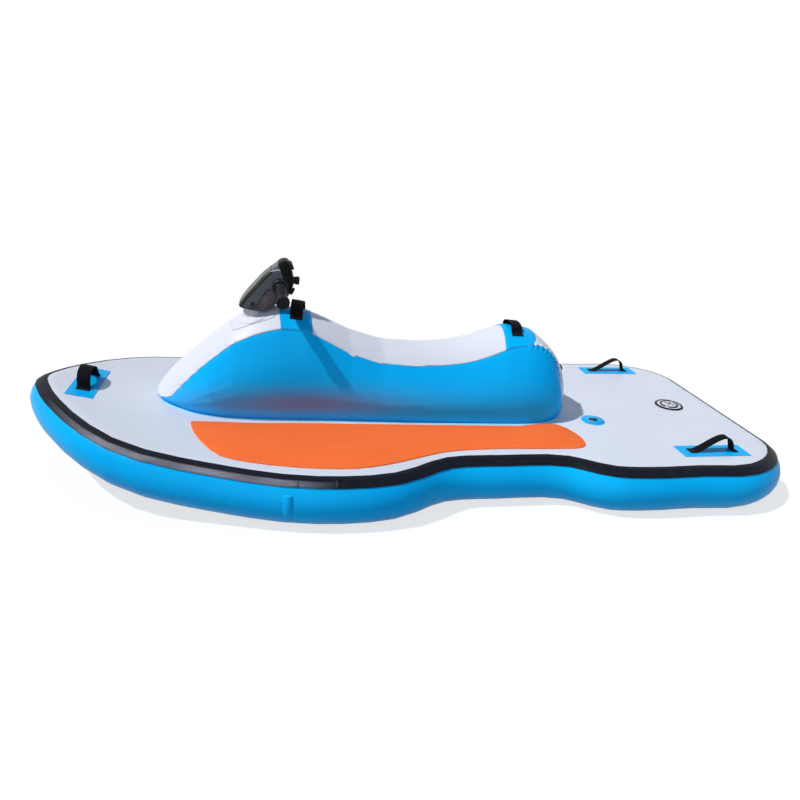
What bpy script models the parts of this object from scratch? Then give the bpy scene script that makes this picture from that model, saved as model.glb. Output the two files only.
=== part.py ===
"""Inflatable personal watercraft: a drop-stitch board, a saddle-shaped air bladder and a handlebar console.

The board lies along X with its bow at -X, the port side is -Y and +Z is up. Sizes are metres. The origin
is on the floor, under the middle of the board. Everything on the board is first laid out on a level board,
and then the whole board is given its bow rise, so that stacked layers keep their spacing.
"""
import bpy
import bmesh
import math
from mathutils import Matrix, Vector

# Spacing between pieces that touch, and the sheets the craft is welded from
GAP = 0.0003
FABRIC = 0.0015
PATCH = 0.0018
PATCH_SEAT = GAP + FABRIC + GAP + PATCH + GAP

# Board: the flat deck's length and widest breadth, and its edge as fractions of half of each, bow to transom
DECK_LENGTH = 2.905
DECK_BREADTH = 1.190
BOARD_EDGE = (
    # along the half length, out to the half breadth
    (-1.0000, 0.000),
    (-0.9815, 0.131),
    (-0.9400, 0.303),
    (-0.7837, 0.694),
    (-0.5438, 0.886),
    (-0.3038, 1.000),
    (-0.1187, 0.965),
    (0.0322, 0.776),
    (0.1899, 0.758),
    (0.3819, 0.787),
    (0.4916, 0.941),
    (0.5773, 0.963),
    (0.7247, 0.953),
    (0.8755, 0.948),
    (0.9510, 0.847),
    (0.9935, 0.706),
    (1.0000, 0.464),
    (1.0000, 0.000),
)
BOARD_STEPS = 3
BOARD_THICKNESS = 0.200
RAIL_RADIUS = BOARD_THICKNESS / 2 - FABRIC - GAP
RAIL_CENTRE_Z = BOARD_THICKNESS / 2
DECK_Z = BOARD_THICKNESS

# Angles round the rail, measured from straight up
DECK_EDGE_DEG = 16.0
STRAKE_TOP_DEG = 16.6
STRAKE_FOOT_DEG = 50.0
BOTTOM_EDGE_DEG = 152.0
RAIL_DEGREES = (0, 8, 16, 27, 38.5, 50, 66, 82, 98, 114, 130, 142, 152, 166, 180)
STRAKE_THICKNESS = 0.0036
STRAKE_EDGE = 0.0012

# Bow rise: a cubic from the start of the rise forward and a straight slope at the tip, laid in short level-to-level facets
RISE_START_X = -0.0071
RISE_CUBIC = 0.0488
RISE_STRAIGHT_X = -1.20
RISE_STATION_FIRST = -1.56
RISE_STATION_STEP = 0.08
RISE_STATION_COUNT = 21

# Saddle bladder: stations from the nose to the tail, heights above the floor of a level board
HUMP_STATIONS = (
    # crest x, crest z, seam x, seam y, seam z, foot x, foot y
    (-1.0665, 0.2145, -1.0635, 0.020, 0.2135, -1.0605, 0.020),
    (-1.0665, 0.2260, -1.0490, 0.058, 0.2170, -1.0405, 0.053),
    (-1.0615, 0.2450, -1.0245, 0.088, 0.2290, -1.0110, 0.084),
    (-1.0445, 0.2750, -0.9905, 0.110, 0.2510, -0.9600, 0.118),
    (-0.9925, 0.3470, -0.9465, 0.122, 0.3155, -0.9025, 0.148),
    (-0.9035, 0.4390, -0.8665, 0.128, 0.4020, -0.8225, 0.159),
    (-0.7875, 0.5460, -0.7675, 0.130, 0.4920, -0.7335, 0.161),
    (-0.6785, 0.6110, -0.6585, 0.130, 0.5520, -0.6425, 0.157),
    (-0.5675, 0.6350, -0.5625, 0.130, 0.5775, -0.5595, 0.154),
    (-0.4745, 0.6235, -0.4695, 0.130, 0.5740, -0.4655, 0.151),
    (-0.3895, 0.5945, -0.3895, 0.130, 0.5355, -0.3855, 0.151),
    (-0.2855, 0.5480, -0.2855, 0.130, 0.4790, -0.2845, 0.156),
    (-0.1505, 0.5095, -0.1505, 0.130, 0.4410, -0.1495, 0.166),
    (0.0175, 0.4990, 0.0175, 0.131, 0.4345, 0.0185, 0.178),
    (0.1885, 0.5140, 0.1875, 0.132, 0.4430, 0.1895, 0.188),
    (0.3015, 0.5560, 0.3005, 0.133, 0.4800, 0.3025, 0.194),
    (0.3945, 0.5850, 0.3825, 0.133, 0.5170, 0.3745, 0.198),
    (0.4995, 0.5680, 0.4690, 0.133, 0.5360, 0.4365, 0.199),
    (0.5835, 0.5100, 0.5345, 0.133, 0.5265, 0.4915, 0.197),
    (0.6465, 0.4400, 0.5880, 0.132, 0.4740, 0.5445, 0.187),
    (0.6885, 0.3530, 0.6235, 0.124, 0.3930, 0.5875, 0.166),
    (0.7065, 0.2716, 0.6455, 0.110, 0.3063, 0.6295, 0.134),
    (0.7060, 0.2400, 0.6720, 0.078, 0.2320, 0.6640, 0.082),
    (0.7020, 0.2145, 0.6980, 0.022, 0.2135, 0.6960, 0.022),
)
HUMP_RISER = 0.007
HUMP_BULGE = 0.038
HUMP_SIDE_STEPS = 6
HUMP_TOP_STEPS = 3
FLANGE_WIDTH = 0.015
FLANGE_CLEARANCE = 0.0012
FLANGE_THICKNESS = 0.0022

# Webbing patches on the bladder, each between two positions along the station table
FRONT_PATCH_STATIONS = (7.93, 9.19)
REAR_PATCH_STATIONS = (15.90, 17.20)
CONSOLE_PATCH_STATIONS = (6.20, 7.80)

# Foot pads: port side outline on the deck, mirrored for starboard
PAD_THICKNESS = 0.005
PAD_OUTLINE = (
    # x, distance from the centreline
    (-0.916, 0.236),
    (-0.898, 0.312),
    (-0.848, 0.418),
    (-0.784, 0.502),
    (-0.700, 0.536),
    (-0.574, 0.562),
    (-0.434, 0.578),
    (-0.300, 0.579),
    (-0.180, 0.550),
    (-0.056, 0.500),
    (0.045, 0.460),
    (0.180, 0.440),
    (0.360, 0.438),
    (0.560, 0.444),
    (0.632, 0.436),
    (0.657, 0.400),
    (0.654, 0.310),
    (0.606, 0.214),
    (0.430, 0.230),
    (0.170, 0.217),
    (-0.120, 0.208),
    (-0.412, 0.192),
    (-0.640, 0.208),
    (-0.840, 0.222),
)

# Webbing handles
WEBBING_WIDTH = 0.050
WEBBING_THICKNESS = 0.003
HANDLE_FOOT = 0.026
HANDLE_ARCH_STEPS = 12
HANDLE_BED = 0.003
ARCH_FULLNESS = 0.72
DECK_PATCH_CORNER = 0.004
DECK_HANDLES = (
    # name, x, y, patch length, patch width, loop span, loop rise, loop skew, turn in degrees
    ("bow", -1.334, 0.000, 0.306, 0.100, 0.136, 0.062, 1.0, 90.0),
    ("port_aft", 1.178, -0.484, 0.298, 0.098, 0.168, 0.060, 1.8, 0.0),
    ("starboard_aft", 1.178, 0.484, 0.298, 0.098, 0.168, 0.060, 1.8, 0.0),
)
HUMP_HANDLES = (
    # name, station along the bladder, loop span, loop rise
    ("hump_front", 8.66, 0.122, 0.042),
    ("hump_rear", 16.35, 0.118, 0.028),
)

# Ring patch, to port between the bladder and the aft handle
RING_PATCH_X = 0.796
RING_PATCH_Y = 0.169
RING_PATCH_RADIUS = 0.052
RING_TAB_HALF = (0.017, 0.009)
RING_TAB_CORNER = 0.002
RING_TAB_HEIGHT = 0.0052

# Air valves
VALVE_X = 1.265
VALVE_RADIUS = 0.065
VALVE_SEAT_RATIO = 0.70
VALVE_CAP_RATIO = 0.58
VALVE_RISE = 0.006
VALVE_SEAT_RISE = 0.002
VALVE_CAP_RISE = 0.003
VALVE_EDGE = 0.004
HUMP_VALVE_STATION = 19.60
HUMP_VALVE_RADIUS = 0.016
HUMP_VALVE_RISE = 0.011
HUMP_VALVE_BED = 0.010

# Console, in its own frame: origin on the steering axis at the top of the boot
STEER_X = -0.676
STEER_Z = 0.6400
STEER_CLEARANCE = 0.0090
BOOT_RADIUS_X = 0.046
BOOT_RADIUS_Y = 0.062
BOOT_SINK = 0.060
BOOT_TOP_RATIO = 0.86
STEM_RADIUS = 0.030
CONSOLE_HALF_WIDTH = 0.076
CONSOLE_TOP_TAPER = 0.40
CONSOLE_EDGE = 0.009
NOSE_START_X = 0.005
NOSE_TAPER = 0.34
CONSOLE_PROFILE = (
    # x aft of the steering axis, z above the base
    (-0.057, 0.000),
    (-0.053, 0.014),
    (-0.004, 0.076),
    (0.033, 0.118),
    (0.062, 0.144),
    (0.099, 0.1735),
    (0.114, 0.182),
    (0.129, 0.183),
    (0.141, 0.171),
    (0.150, 0.139),
    (0.157, 0.112),
    (0.153, 0.087),
    (0.138, 0.052),
    (0.115, 0.036),
    (0.088, 0.022),
    (0.070, 0.009),
    (0.048, 0.000),
)
PANEL_PROFILE = (
    # side recess, x aft of the steering axis, z above the base
    (0.018, 0.014),
    (0.036, 0.066),
    (0.050, 0.074),
    (0.084, 0.064),
    (0.078, 0.034),
    (0.060, 0.014),
)
PANEL_DEPTH = 0.004
GRIP_CENTRE = (0.104, 0.087)
GRIP_SWEEP_DEG = 4.0
GRIP_DROOP_DEG = 10.0
GRIP_PROFILE = (
    # radius, distance out along the bar
    (0.0225, 0.000),
    (0.0225, 0.012),
    (0.0175, 0.015),
    (0.0175, 0.123),
    (0.0240, 0.127),
    (0.0255, 0.138),
    (0.0225, 0.143),
)
COLLAR_RADIUS = 0.036
COLLAR_EDGE = 0.003
COLLAR_REACH = 0.014
COLLAR_BED = 0.022
ROUND_SIDES = 20
KNOBS = (
    # name, share of the half width to port, height up the rear face, radius, length
    ("dash_top_cap", 0.00, 0.160, 0.0190, 0.009),
    ("dash_upper_knob", 0.10, 0.104, 0.0165, 0.024),
    ("dash_lower_knob", 0.30, 0.066, 0.0150, 0.012),
)

BLUE = ((0.004, 0.330, 0.840), 0.36, 0.0)
WHITE = ((0.700, 0.745, 0.830), 0.45, 0.0)
BLACK = ((0.012, 0.013, 0.017), 0.60, 0.0)
STRAKE = ((0.020, 0.022, 0.030), 0.42, 0.0)
ORANGE = ((0.870, 0.165, 0.045), 0.80, 0.0)
HOUSING = ((0.030, 0.034, 0.040), 0.38, 0.0)

for item in list(bpy.data.objects):
    bpy.data.objects.remove(item, do_unlink=True)

craft = bpy.data.collections.new("inflatable_watercraft")
bpy.context.scene.collection.children.link(craft)
cutters = bpy.data.collections.new("cutters")
bpy.context.scene.collection.children.link(cutters)


def material(name, look):
    colour, roughness, metallic = look
    mat = bpy.data.materials.new(name)
    mat.use_nodes = True
    shader = mat.node_tree.nodes["Principled BSDF"]
    shader.inputs["Base Color"].default_value = (*colour, 1.0)
    shader.inputs["Roughness"].default_value = roughness
    shader.inputs["Metallic"].default_value = metallic
    return mat


def add_object(name, mesh, look, location=(0, 0, 0), rotation=(0, 0, 0), parent=None):
    obj = bpy.data.objects.new(name, mesh)
    craft.objects.link(obj)
    mesh.materials.clear()
    mesh.materials.append(material(name, look))
    obj.location = location
    obj.rotation_euler = rotation
    obj.parent = parent
    return obj


def add_cutter(name, mesh, location=(0, 0, 0), rotation=(0, 0, 0)):
    obj = bpy.data.objects.new(name, mesh)
    cutters.objects.link(obj)
    obj.location = location
    obj.rotation_euler = rotation
    obj.display_type = "WIRE"
    obj.hide_render = True
    return obj


def finish_mesh(bm, name):
    bmesh.ops.remove_doubles(bm, verts=bm.verts, dist=1e-6)
    bmesh.ops.recalc_face_normals(bm, faces=bm.faces)
    mesh = bpy.data.meshes.new(name)
    bm.to_mesh(mesh)
    bm.free()
    return mesh


def smooth_through(knots, steps):
    """Points on a curve through the knots, with each knot kept (Catmull-Rom, chord-weighted)."""
    pts = [Vector(k) for k in knots]
    first = pts[0] * 2 - pts[1]
    last = pts[-1] * 2 - pts[-2]
    pts = [first] + pts + [last]
    out = []
    for i in range(1, len(pts) - 2):
        p0, p1, p2, p3 = pts[i - 1], pts[i], pts[i + 1], pts[i + 2]
        d01 = max((p1 - p0).length, 1e-9)
        d12 = max((p2 - p1).length, 1e-9)
        d23 = max((p3 - p2).length, 1e-9)
        m1 = (p1 - p0) / d01 * (d12 / (d01 + d12)) + (p2 - p1) / d12 * (d01 / (d01 + d12))
        m2 = (p2 - p1) / d12 * (d23 / (d12 + d23)) + (p3 - p2) / d23 * (d12 / (d12 + d23))
        for s in range(steps):
            t = s / steps
            h00 = 2 * t**3 - 3 * t**2 + 1
            h10 = t**3 - 2 * t**2 + t
            h01 = -2 * t**3 + 3 * t**2
            h11 = t**3 - t**2
            out.append(p1 * h00 + m1 * (h10 * d12) + p2 * h01 + m2 * (h11 * d12))
    out.append(pts[-2])
    return out


def board_outline():
    """The flat deck's edge as a closed loop, port side aft to the transom and back along starboard."""
    knots = [(x * DECK_LENGTH / 2, -y * DECK_BREADTH / 2, 0.0) for x, y in BOARD_EDGE]
    bow = [(knots[1][0], -knots[1][1], 0.0)]
    port = smooth_through(bow + knots[:-1], BOARD_STEPS)[BOARD_STEPS:]
    starboard = [Vector((p.x, -p.y, 0.0)) for p in reversed(port) if p.y < -1e-6]
    return port + starboard


def offset_loop(loop, distance):
    """The closed loop moved outward, square to its edges."""
    area = sum(a.x * b.y - b.x * a.y for a, b in zip(loop, loop[1:] + loop[:1]))
    side = 1.0 if area > 0 else -1.0
    out = []
    for i, p in enumerate(loop):
        before = (p - loop[i - 1]).normalized()
        after = (loop[(i + 1) % len(loop)] - p).normalized()
        n1 = Vector((before.y, -before.x, 0.0)) * side
        n2 = Vector((after.y, -after.x, 0.0)) * side
        mitre = (n1 + n2).normalized()
        out.append(p + mitre * (distance / max(mitre.dot(n1), 0.5)))
    return out


def rise_curve(x):
    run = max(0.0, RISE_START_X - max(x, RISE_STRAIGHT_X))
    return RISE_CUBIC * (run ** 3 + 3.0 * run ** 2 * max(0.0, RISE_STRAIGHT_X - x))


def rise(x):
    """Height of the bow rise, straight between stations so that every facet stays flat."""
    last = RISE_STATION_FIRST + RISE_STATION_STEP * (RISE_STATION_COUNT - 1)
    if x >= last:
        return 0.0
    k = math.floor((x - RISE_STATION_FIRST) / RISE_STATION_STEP)
    x0 = RISE_STATION_FIRST + RISE_STATION_STEP * k
    x1 = x0 + RISE_STATION_STEP
    z0 = rise_curve(x0)
    z1 = rise_curve(x1)
    if x1 > last - 1e-9:
        z1 = 0.0
    return z0 + (z1 - z0) * (x - x0) / RISE_STATION_STEP


def rise_bow(bm):
    """Cut the mesh at the stations and lift it to the bow rise."""
    low = min(v.co.x for v in bm.verts)
    high = max(v.co.x for v in bm.verts)
    for k in range(RISE_STATION_COUNT):
        x = RISE_STATION_FIRST + RISE_STATION_STEP * k
        if low < x < high:
            geometry = list(bm.verts) + list(bm.edges) + list(bm.faces)
            bmesh.ops.bisect_plane(bm, geom=geometry, dist=1e-6, plane_co=(x, 0, 0), plane_no=(1, 0, 0))
    for v in bm.verts:
        v.co.z += rise(v.co.x)


def add_faces_between(bm, ring_a, ring_b, closed=True):
    count = len(ring_a)
    for i in range(count if closed else count - 1):
        j = (i + 1) % count
        bm.faces.new((ring_a[i], ring_a[j], ring_b[j], ring_b[i]))


def rail_sweep(name, profile, closed, look):
    """A section of the rail carried round the board's edge. An open section is closed by its flat caps."""
    outline = board_outline()
    bm = bmesh.new()
    rings = []
    for out, z in profile:
        rings.append([bm.verts.new((p.x, p.y, z)) for p in offset_loop(outline, out)])
    for ring_a, ring_b in zip(rings, rings[1:]):
        add_faces_between(bm, ring_a, ring_b)
    if closed:
        add_faces_between(bm, rings[-1], rings[0])
    else:
        bm.faces.new(rings[0])
        bm.faces.new(rings[-1])
    rise_bow(bm)
    return add_object(name, finish_mesh(bm, name), look)


def rail_point(radius, degrees):
    angle = math.radians(degrees)
    return radius * math.sin(angle), RAIL_CENTRE_Z + radius * math.cos(angle)


def rail_angles(first, last):
    return [first] + [a for a in RAIL_DEGREES if first < a < last] + [last]


def build_board():
    inner = RAIL_RADIUS + GAP
    outer = inner + FABRIC
    rail_sweep("hull_body", [rail_point(RAIL_RADIUS, a) for a in RAIL_DEGREES], False, BLUE)
    deck = rail_angles(0.0, DECK_EDGE_DEG)
    section = [rail_point(outer, a) for a in deck] + [rail_point(inner, a) for a in reversed(deck)]
    rail_sweep("deck_sheet", section, False, WHITE)
    bottom = rail_angles(BOTTOM_EDGE_DEG, 180.0)
    section = [rail_point(inner, a) for a in reversed(bottom)] + [rail_point(outer, a) for a in bottom]
    rail_sweep("bottom_sheet", section, False, BLUE)
    band = rail_angles(STRAKE_TOP_DEG, STRAKE_FOOT_DEG)
    crown = inner + STRAKE_THICKNESS
    edge_deg = math.degrees(STRAKE_EDGE / crown)
    section = [rail_point(inner, a) for a in band]
    section.append(rail_point(crown - STRAKE_EDGE, band[-1]))
    section.append(rail_point(crown, band[-1] - edge_deg))
    section += [rail_point(crown, a) for a in reversed(band[1:-1])]
    section.append(rail_point(crown, band[0] + edge_deg))
    section.append(rail_point(crown - STRAKE_EDGE, band[0]))
    rail_sweep("rub_strake", section, True, STRAKE)


def hump_section(station):
    """One half section of the bladder, foot to crest, at a position along the station table."""
    k = min(int(station), len(HUMP_STATIONS) - 2)
    t = station - k
    rows = [HUMP_STATIONS[max(0, min(len(HUMP_STATIONS) - 1, k + d))] for d in (-1, 0, 1, 2)]
    row = []
    for a, b, c, d in zip(*rows):
        row.append(b + 0.5 * t * (c - a + t * (2 * a - 5 * b + 4 * c - d + t * (3 * (b - c) + d - a))))
    crest = Vector((row[0], 0.0, row[1]))
    seam = Vector((row[2], row[3], row[4]))
    foot = Vector((row[5], row[6], DECK_Z + GAP))
    before = rows[1]
    after = rows[2]
    along = Vector((after[5] - before[5], after[6] - before[6], 0.0)).normalized()
    outward = Vector((-along.y, along.x, 0.0))
    points = [foot]
    riser = foot + Vector((0, 0, min(HUMP_RISER, (seam.z - foot.z) * 0.4)))
    bulge = HUMP_BULGE * min(1.0, (seam.z - foot.z) / 0.18)
    for s in range(HUMP_SIDE_STEPS + 1):
        t = s / HUMP_SIDE_STEPS
        push = bulge * 4.0 * t * (1.0 - t) * (1.25 - 0.5 * t)
        points.append(riser.lerp(seam, t) + outward * push)
    for s in range(1, HUMP_TOP_STEPS + 1):
        t = s / HUMP_TOP_STEPS
        ease = 1.0 - (1.0 - t) ** 2
        points.append(Vector((seam.x + (crest.x - seam.x) * ease, seam.y * (1.0 - t),
                              seam.z + (crest.z - seam.z) * ease)))
    return points


def hump_positions():
    """Positions along the station table: every station, every half between, and the patches' edges."""
    last = len(HUMP_STATIONS) - 1
    marks = {float(k) for k in range(last + 1)}
    for pair in (FRONT_PATCH_STATIONS, REAR_PATCH_STATIONS, CONSOLE_PATCH_STATIONS):
        marks.update(pair)
    marks.update((1.5, 2.5, 3.5, 17.5, 18.5, 19.5, 20.5))
    return sorted(marks)


SEAM_INDEX = HUMP_SIDE_STEPS + 1


def hump_grid():
    """Full sections, port foot to starboard foot, with the surface normal at each point."""
    grid = []
    for station in hump_positions():
        half = hump_section(station)
        port = [Vector((p.x, -p.y, p.z)) for p in half]
        grid.append(port + list(reversed(half[:-1])))
    normals = []
    for i, section in enumerate(grid):
        ahead = grid[max(0, i - 1)]
        behind = grid[min(len(grid) - 1, i + 1)]
        row = []
        for j, p in enumerate(section):
            across = section[min(len(section) - 1, j + 1)] - section[max(0, j - 1)]
            along = behind[j] - ahead[j]
            row.append(along.cross(across).normalized())
        normals.append(row)
    return grid, normals


def hump_shell(rows, columns, low, high):
    """A closed layer over part of the bladder, between two distances out from its surface."""
    grid, normals = hump_grid()
    bm = bmesh.new()
    layers = []
    for distance in (high, low):
        layers.append([[bm.verts.new(grid[i][j] + normals[i][j] * distance) for j in columns] for i in rows])
    for layer in layers:
        for a, b in zip(layer, layer[1:]):
            for j in range(len(a) - 1):
                bm.faces.new((a[j], a[j + 1], b[j]))
                bm.faces.new((a[j + 1], b[j + 1], b[j]))
    top, under = layers
    rim = top[0][:-1] + [row[-1] for row in top[:-1]] + top[-1][:0:-1] + [row[0] for row in top[:0:-1]]
    rim_under = (under[0][:-1] + [row[-1] for row in under[:-1]] + under[-1][:0:-1]
                 + [row[0] for row in under[:0:-1]])
    add_faces_between(bm, rim, rim_under)
    return bm


def hump_solid(distance):
    """The bladder as one solid, with its surface moved out by a distance."""
    grid, normals = hump_grid()
    bm = bmesh.new()
    sections = []
    for section, row in zip(grid, normals):
        sections.append([bm.verts.new(p + n * distance) for p, n in zip(section, row)])
    for a, b in zip(sections, sections[1:]):
        for j in range(len(a) - 1):
            bm.faces.new((a[j], a[j + 1], b[j]))
            bm.faces.new((a[j + 1], b[j + 1], b[j]))
        bm.faces.new((a[0], b[0], b[-1], a[-1]))
    bm.faces.new(sections[0])
    bm.faces.new(sections[-1])
    return bm


def hump_rows(stations):
    low, high = stations
    return [i for i, s in enumerate(hump_positions()) if low - 1e-9 <= s <= high + 1e-9]


def seam_columns():
    full = 2 * (HUMP_SIDE_STEPS + HUMP_TOP_STEPS + 2) - 1
    return list(range(SEAM_INDEX, full - SEAM_INDEX))


def build_hump():
    body = hump_solid(0.0)
    rise_bow(body)
    add_object("hump_bladder", finish_mesh(body, "hump_bladder"), BLUE)
    panel = hump_shell(list(range(len(hump_positions()))), seam_columns(), GAP, GAP + FABRIC)
    rise_bow(panel)
    add_object("hump_top_panel", finish_mesh(panel, "hump_top_panel"), WHITE)
    full = seam_columns()
    patches = (
        # name, first and last station, columns across, look
        ("hump_front_patch", FRONT_PATCH_STATIONS, full, BLUE),
        ("hump_rear_patch", REAR_PATCH_STATIONS, full, BLUE),
        ("console_patch", CONSOLE_PATCH_STATIONS, full[1:-1], WHITE),
    )
    for name, stations, columns, look in patches:
        low = GAP + FABRIC + GAP
        shell = hump_shell(hump_rows(stations), columns, low, low + PATCH)
        rise_bow(shell)
        add_object(name, finish_mesh(shell, name), look)
    build_flange()


def build_flange():
    """The welded lip round the bladder's foot, a flat ring on the deck."""
    feet = [Vector((p[0].x, p[0].y, 0.0)) for p in (hump_section(s) for s in hump_positions())]
    loop = [Vector((p.x, -p.y, 0.0)) for p in feet] + list(reversed(feet))
    bm = bmesh.new()
    rings = []
    section = ((FLANGE_CLEARANCE, 0.0), (FLANGE_CLEARANCE, FLANGE_THICKNESS),
               (FLANGE_WIDTH, FLANGE_THICKNESS), (FLANGE_WIDTH, 0.0))
    for out, up in section:
        ring = offset_loop(loop, out)
        rings.append([bm.verts.new((p.x, p.y, DECK_Z + GAP + up)) for p in ring])
    for ring_a, ring_b in zip(rings, rings[1:] + rings[:1]):
        add_faces_between(bm, ring_a, ring_b)
    rise_bow(bm)
    add_object("hump_base_flange", finish_mesh(bm, "hump_base_flange"), BLUE)


def flat_shape(name, points, depth, bottom):
    """A flat outline given a thickness, as a mesh with its underside at a height."""
    curve = bpy.data.curves.new(name, "CURVE")
    curve.dimensions = "2D"
    curve.fill_mode = "BOTH"
    curve.extrude = depth / 2
    spline = curve.splines.new("POLY")
    spline.points.add(len(points) - 1)
    for target, p in zip(spline.points, points):
        target.co = (p[0], p[1], 0.0, 1.0)
    spline.use_cyclic_u = True
    holder = bpy.data.objects.new(name, curve)
    cutters.objects.link(holder)
    mesh = bpy.data.meshes.new_from_object(holder)
    bpy.data.objects.remove(holder, do_unlink=True)
    bm = bmesh.new()
    bm.from_mesh(mesh)
    bmesh.ops.remove_doubles(bm, verts=bm.verts, dist=1e-6)
    bmesh.ops.translate(bm, verts=bm.verts, vec=(0, 0, bottom + depth / 2))
    return bm


def build_pads():
    loop = list(PAD_OUTLINE) + [PAD_OUTLINE[0]]
    outer = smooth_through([(x, -y, 0.0) for x, y in loop], 2)[:-1]
    for name, side in (("port_foot_pad", 1.0), ("starboard_foot_pad", -1.0)):
        points = [(p.x, p.y * side) for p in outer]
        bm = flat_shape(name, points, PAD_THICKNESS, DECK_Z + GAP)
        rise_bow(bm)
        add_object(name, finish_mesh(bm, name), ORANGE)


def rounded_rectangle(length, width, corner, steps=3):
    points = []
    for sx, sy, start in ((1, 1, 0), (-1, 1, 90), (-1, -1, 180), (1, -1, 270)):
        for s in range(steps + 1):
            angle = math.radians(start + 90.0 * s / steps)
            points.append((sx * (length / 2 - corner) + corner * math.cos(angle),
                           sy * (width / 2 - corner) + corner * math.sin(angle)))
    return points


def webbing_loop(name, span, height, skew=1.0, feet_drop=0.0):
    """Webbing standing in a loop on two flat feet: its edge view given the webbing's width.

    A skew over 1 carries the loop's highest point towards its far foot.
    """
    centre = [(-span / 2 - HANDLE_FOOT, -feet_drop), (-span / 2 - HANDLE_FOOT * 0.2, 0.0)]
    for s in range(1, HANDLE_ARCH_STEPS):
        share = s / HANDLE_ARCH_STEPS
        up = math.sin(math.pi * share ** skew) ** (ARCH_FULLNESS * skew ** 0.5)
        centre.append((-math.cos(math.pi * share) * span / 2, height * up))
    centre += [(span / 2 + HANDLE_FOOT * 0.2, 0.0), (span / 2 + HANDLE_FOOT, -feet_drop)]
    path = [Vector((x, z, 0.0)) for x, z in centre]
    upper = []
    lower = []
    for i, p in enumerate(path):
        before = (p - path[max(0, i - 1)]).normalized() if i else (path[1] - p).normalized()
        after = (path[min(len(path) - 1, i + 1)] - p).normalized() if i < len(path) - 1 else before
        mitre = (Vector((-before.y, before.x, 0)) + Vector((-after.y, after.x, 0))).normalized()
        reach = 1.0 / max(mitre.dot(Vector((-before.y, before.x, 0))), 0.6)
        upper.append(p + mitre * WEBBING_THICKNESS * reach)
        lower.append(p)
    outline = [(p.x, p.y) for p in upper] + [(p.x, p.y) for p in reversed(lower)]
    bm = flat_shape(name, outline, WEBBING_WIDTH, -WEBBING_WIDTH / 2)
    bmesh.ops.rotate(bm, verts=bm.verts, cent=(0, 0, 0), matrix=Matrix.Rotation(math.radians(90), 3, "X"))
    return bm


def build_deck_handles():
    for name, x, y, length, width, span, height, skew, turn in DECK_HANDLES:
        patch = flat_shape(name, rounded_rectangle(length, width, DECK_PATCH_CORNER), PATCH, DECK_Z + GAP)
        spin = Matrix.Rotation(math.radians(turn), 3, "Z")
        bmesh.ops.rotate(patch, verts=patch.verts, cent=(0, 0, 0), matrix=spin)
        bmesh.ops.translate(patch, verts=patch.verts, vec=(x, y, 0))
        rise_bow(patch)
        add_object(name + "_patch", finish_mesh(patch, name), BLUE)
        loop = webbing_loop(name, span, height, skew=skew)
        bmesh.ops.rotate(loop, verts=loop.verts, cent=(0, 0, 0), matrix=spin)
        bmesh.ops.translate(loop, verts=loop.verts, vec=(x, y, DECK_Z + GAP + PATCH + GAP))
        rise_bow(loop)
        add_object(name + "_handle", finish_mesh(loop, name), BLACK)


def hump_top_point(station, across):
    """A point on the bladder's top skin and its lengthwise slope, on the raised board."""
    half = hump_section(station)
    tops = [p for p in half[SEAM_INDEX:]]
    reach = 1.0 - across / tops[0].y
    ease = 1.0 - (1.0 - reach) ** 2
    x = tops[0].x + (tops[-1].x - tops[0].x) * ease
    z = tops[0].z + (tops[-1].z - tops[0].z) * ease
    return Vector((x, across, z + rise(x)))


def build_hump_handles():
    for name, station, span, height in HUMP_HANDLES:
        foot = hump_top_point(station, span / 2 + HANDLE_FOOT * 0.5)
        ahead = hump_top_point(station - 0.2, span / 2)
        behind = hump_top_point(station + 0.2, span / 2)
        slope = math.atan2(behind.z - ahead.z, behind.x - ahead.x)
        outer = hump_top_point(station, span / 2 + HANDLE_FOOT)
        inner = hump_top_point(station, span / 2)
        drop = inner.z - outer.z
        loop = webbing_loop(name, span, height, feet_drop=drop)
        spin = Matrix.Rotation(math.radians(90), 3, "Z")
        bmesh.ops.rotate(loop, verts=loop.verts, cent=(0, 0, 0), matrix=spin)
        bmesh.ops.rotate(loop, verts=loop.verts, cent=(0, 0, 0), matrix=Matrix.Rotation(-slope, 3, "Y"))
        place = Vector((foot.x, 0.0, inner.z + PATCH_SEAT - HANDLE_BED))
        obj = add_object(name + "_handle", finish_mesh(loop, name), BLACK, location=place)
        trim_to_hump(obj, PATCH_SEAT)


def cut_away(obj, cutter):
    trim = obj.modifiers.new("seat", "BOOLEAN")
    trim.operation = "DIFFERENCE"
    trim.solver = "EXACT"
    trim.object = cutter


def trim_to_hump(obj, distance):
    """Cut away what lies inside the bladder and its skins, so the piece sits on them."""
    cutter_mesh = hump_solid(distance)
    rise_bow(cutter_mesh)
    cut_away(obj, add_cutter("hump_cutter", finish_mesh(cutter_mesh, "hump_cutter")))


def disc(name, radius, depth, bottom, sides=ROUND_SIDES, edge=0.0):
    bm = bmesh.new()
    bmesh.ops.create_cone(bm, cap_ends=True, segments=sides, radius1=radius, radius2=radius - edge, depth=depth)
    bmesh.ops.translate(bm, verts=bm.verts, vec=(0, 0, bottom + depth / 2))
    return bm


def build_ring_patch():
    place = (RING_PATCH_X, -RING_PATCH_Y, 0.0)
    base = DECK_Z + GAP
    patch = disc("port_ring", RING_PATCH_RADIUS, PATCH, base)
    add_object("port_ring_patch", finish_mesh(patch, "port_ring_patch"), BLUE, location=place)
    tab = flat_shape("port_ring", rounded_rectangle(2 * RING_TAB_HALF[0], 2 * RING_TAB_HALF[1], RING_TAB_CORNER),
                     RING_TAB_HEIGHT, base + PATCH + GAP)
    add_object("port_ring_tab", finish_mesh(tab, "port_ring_tab"), BLACK, location=place)


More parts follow.
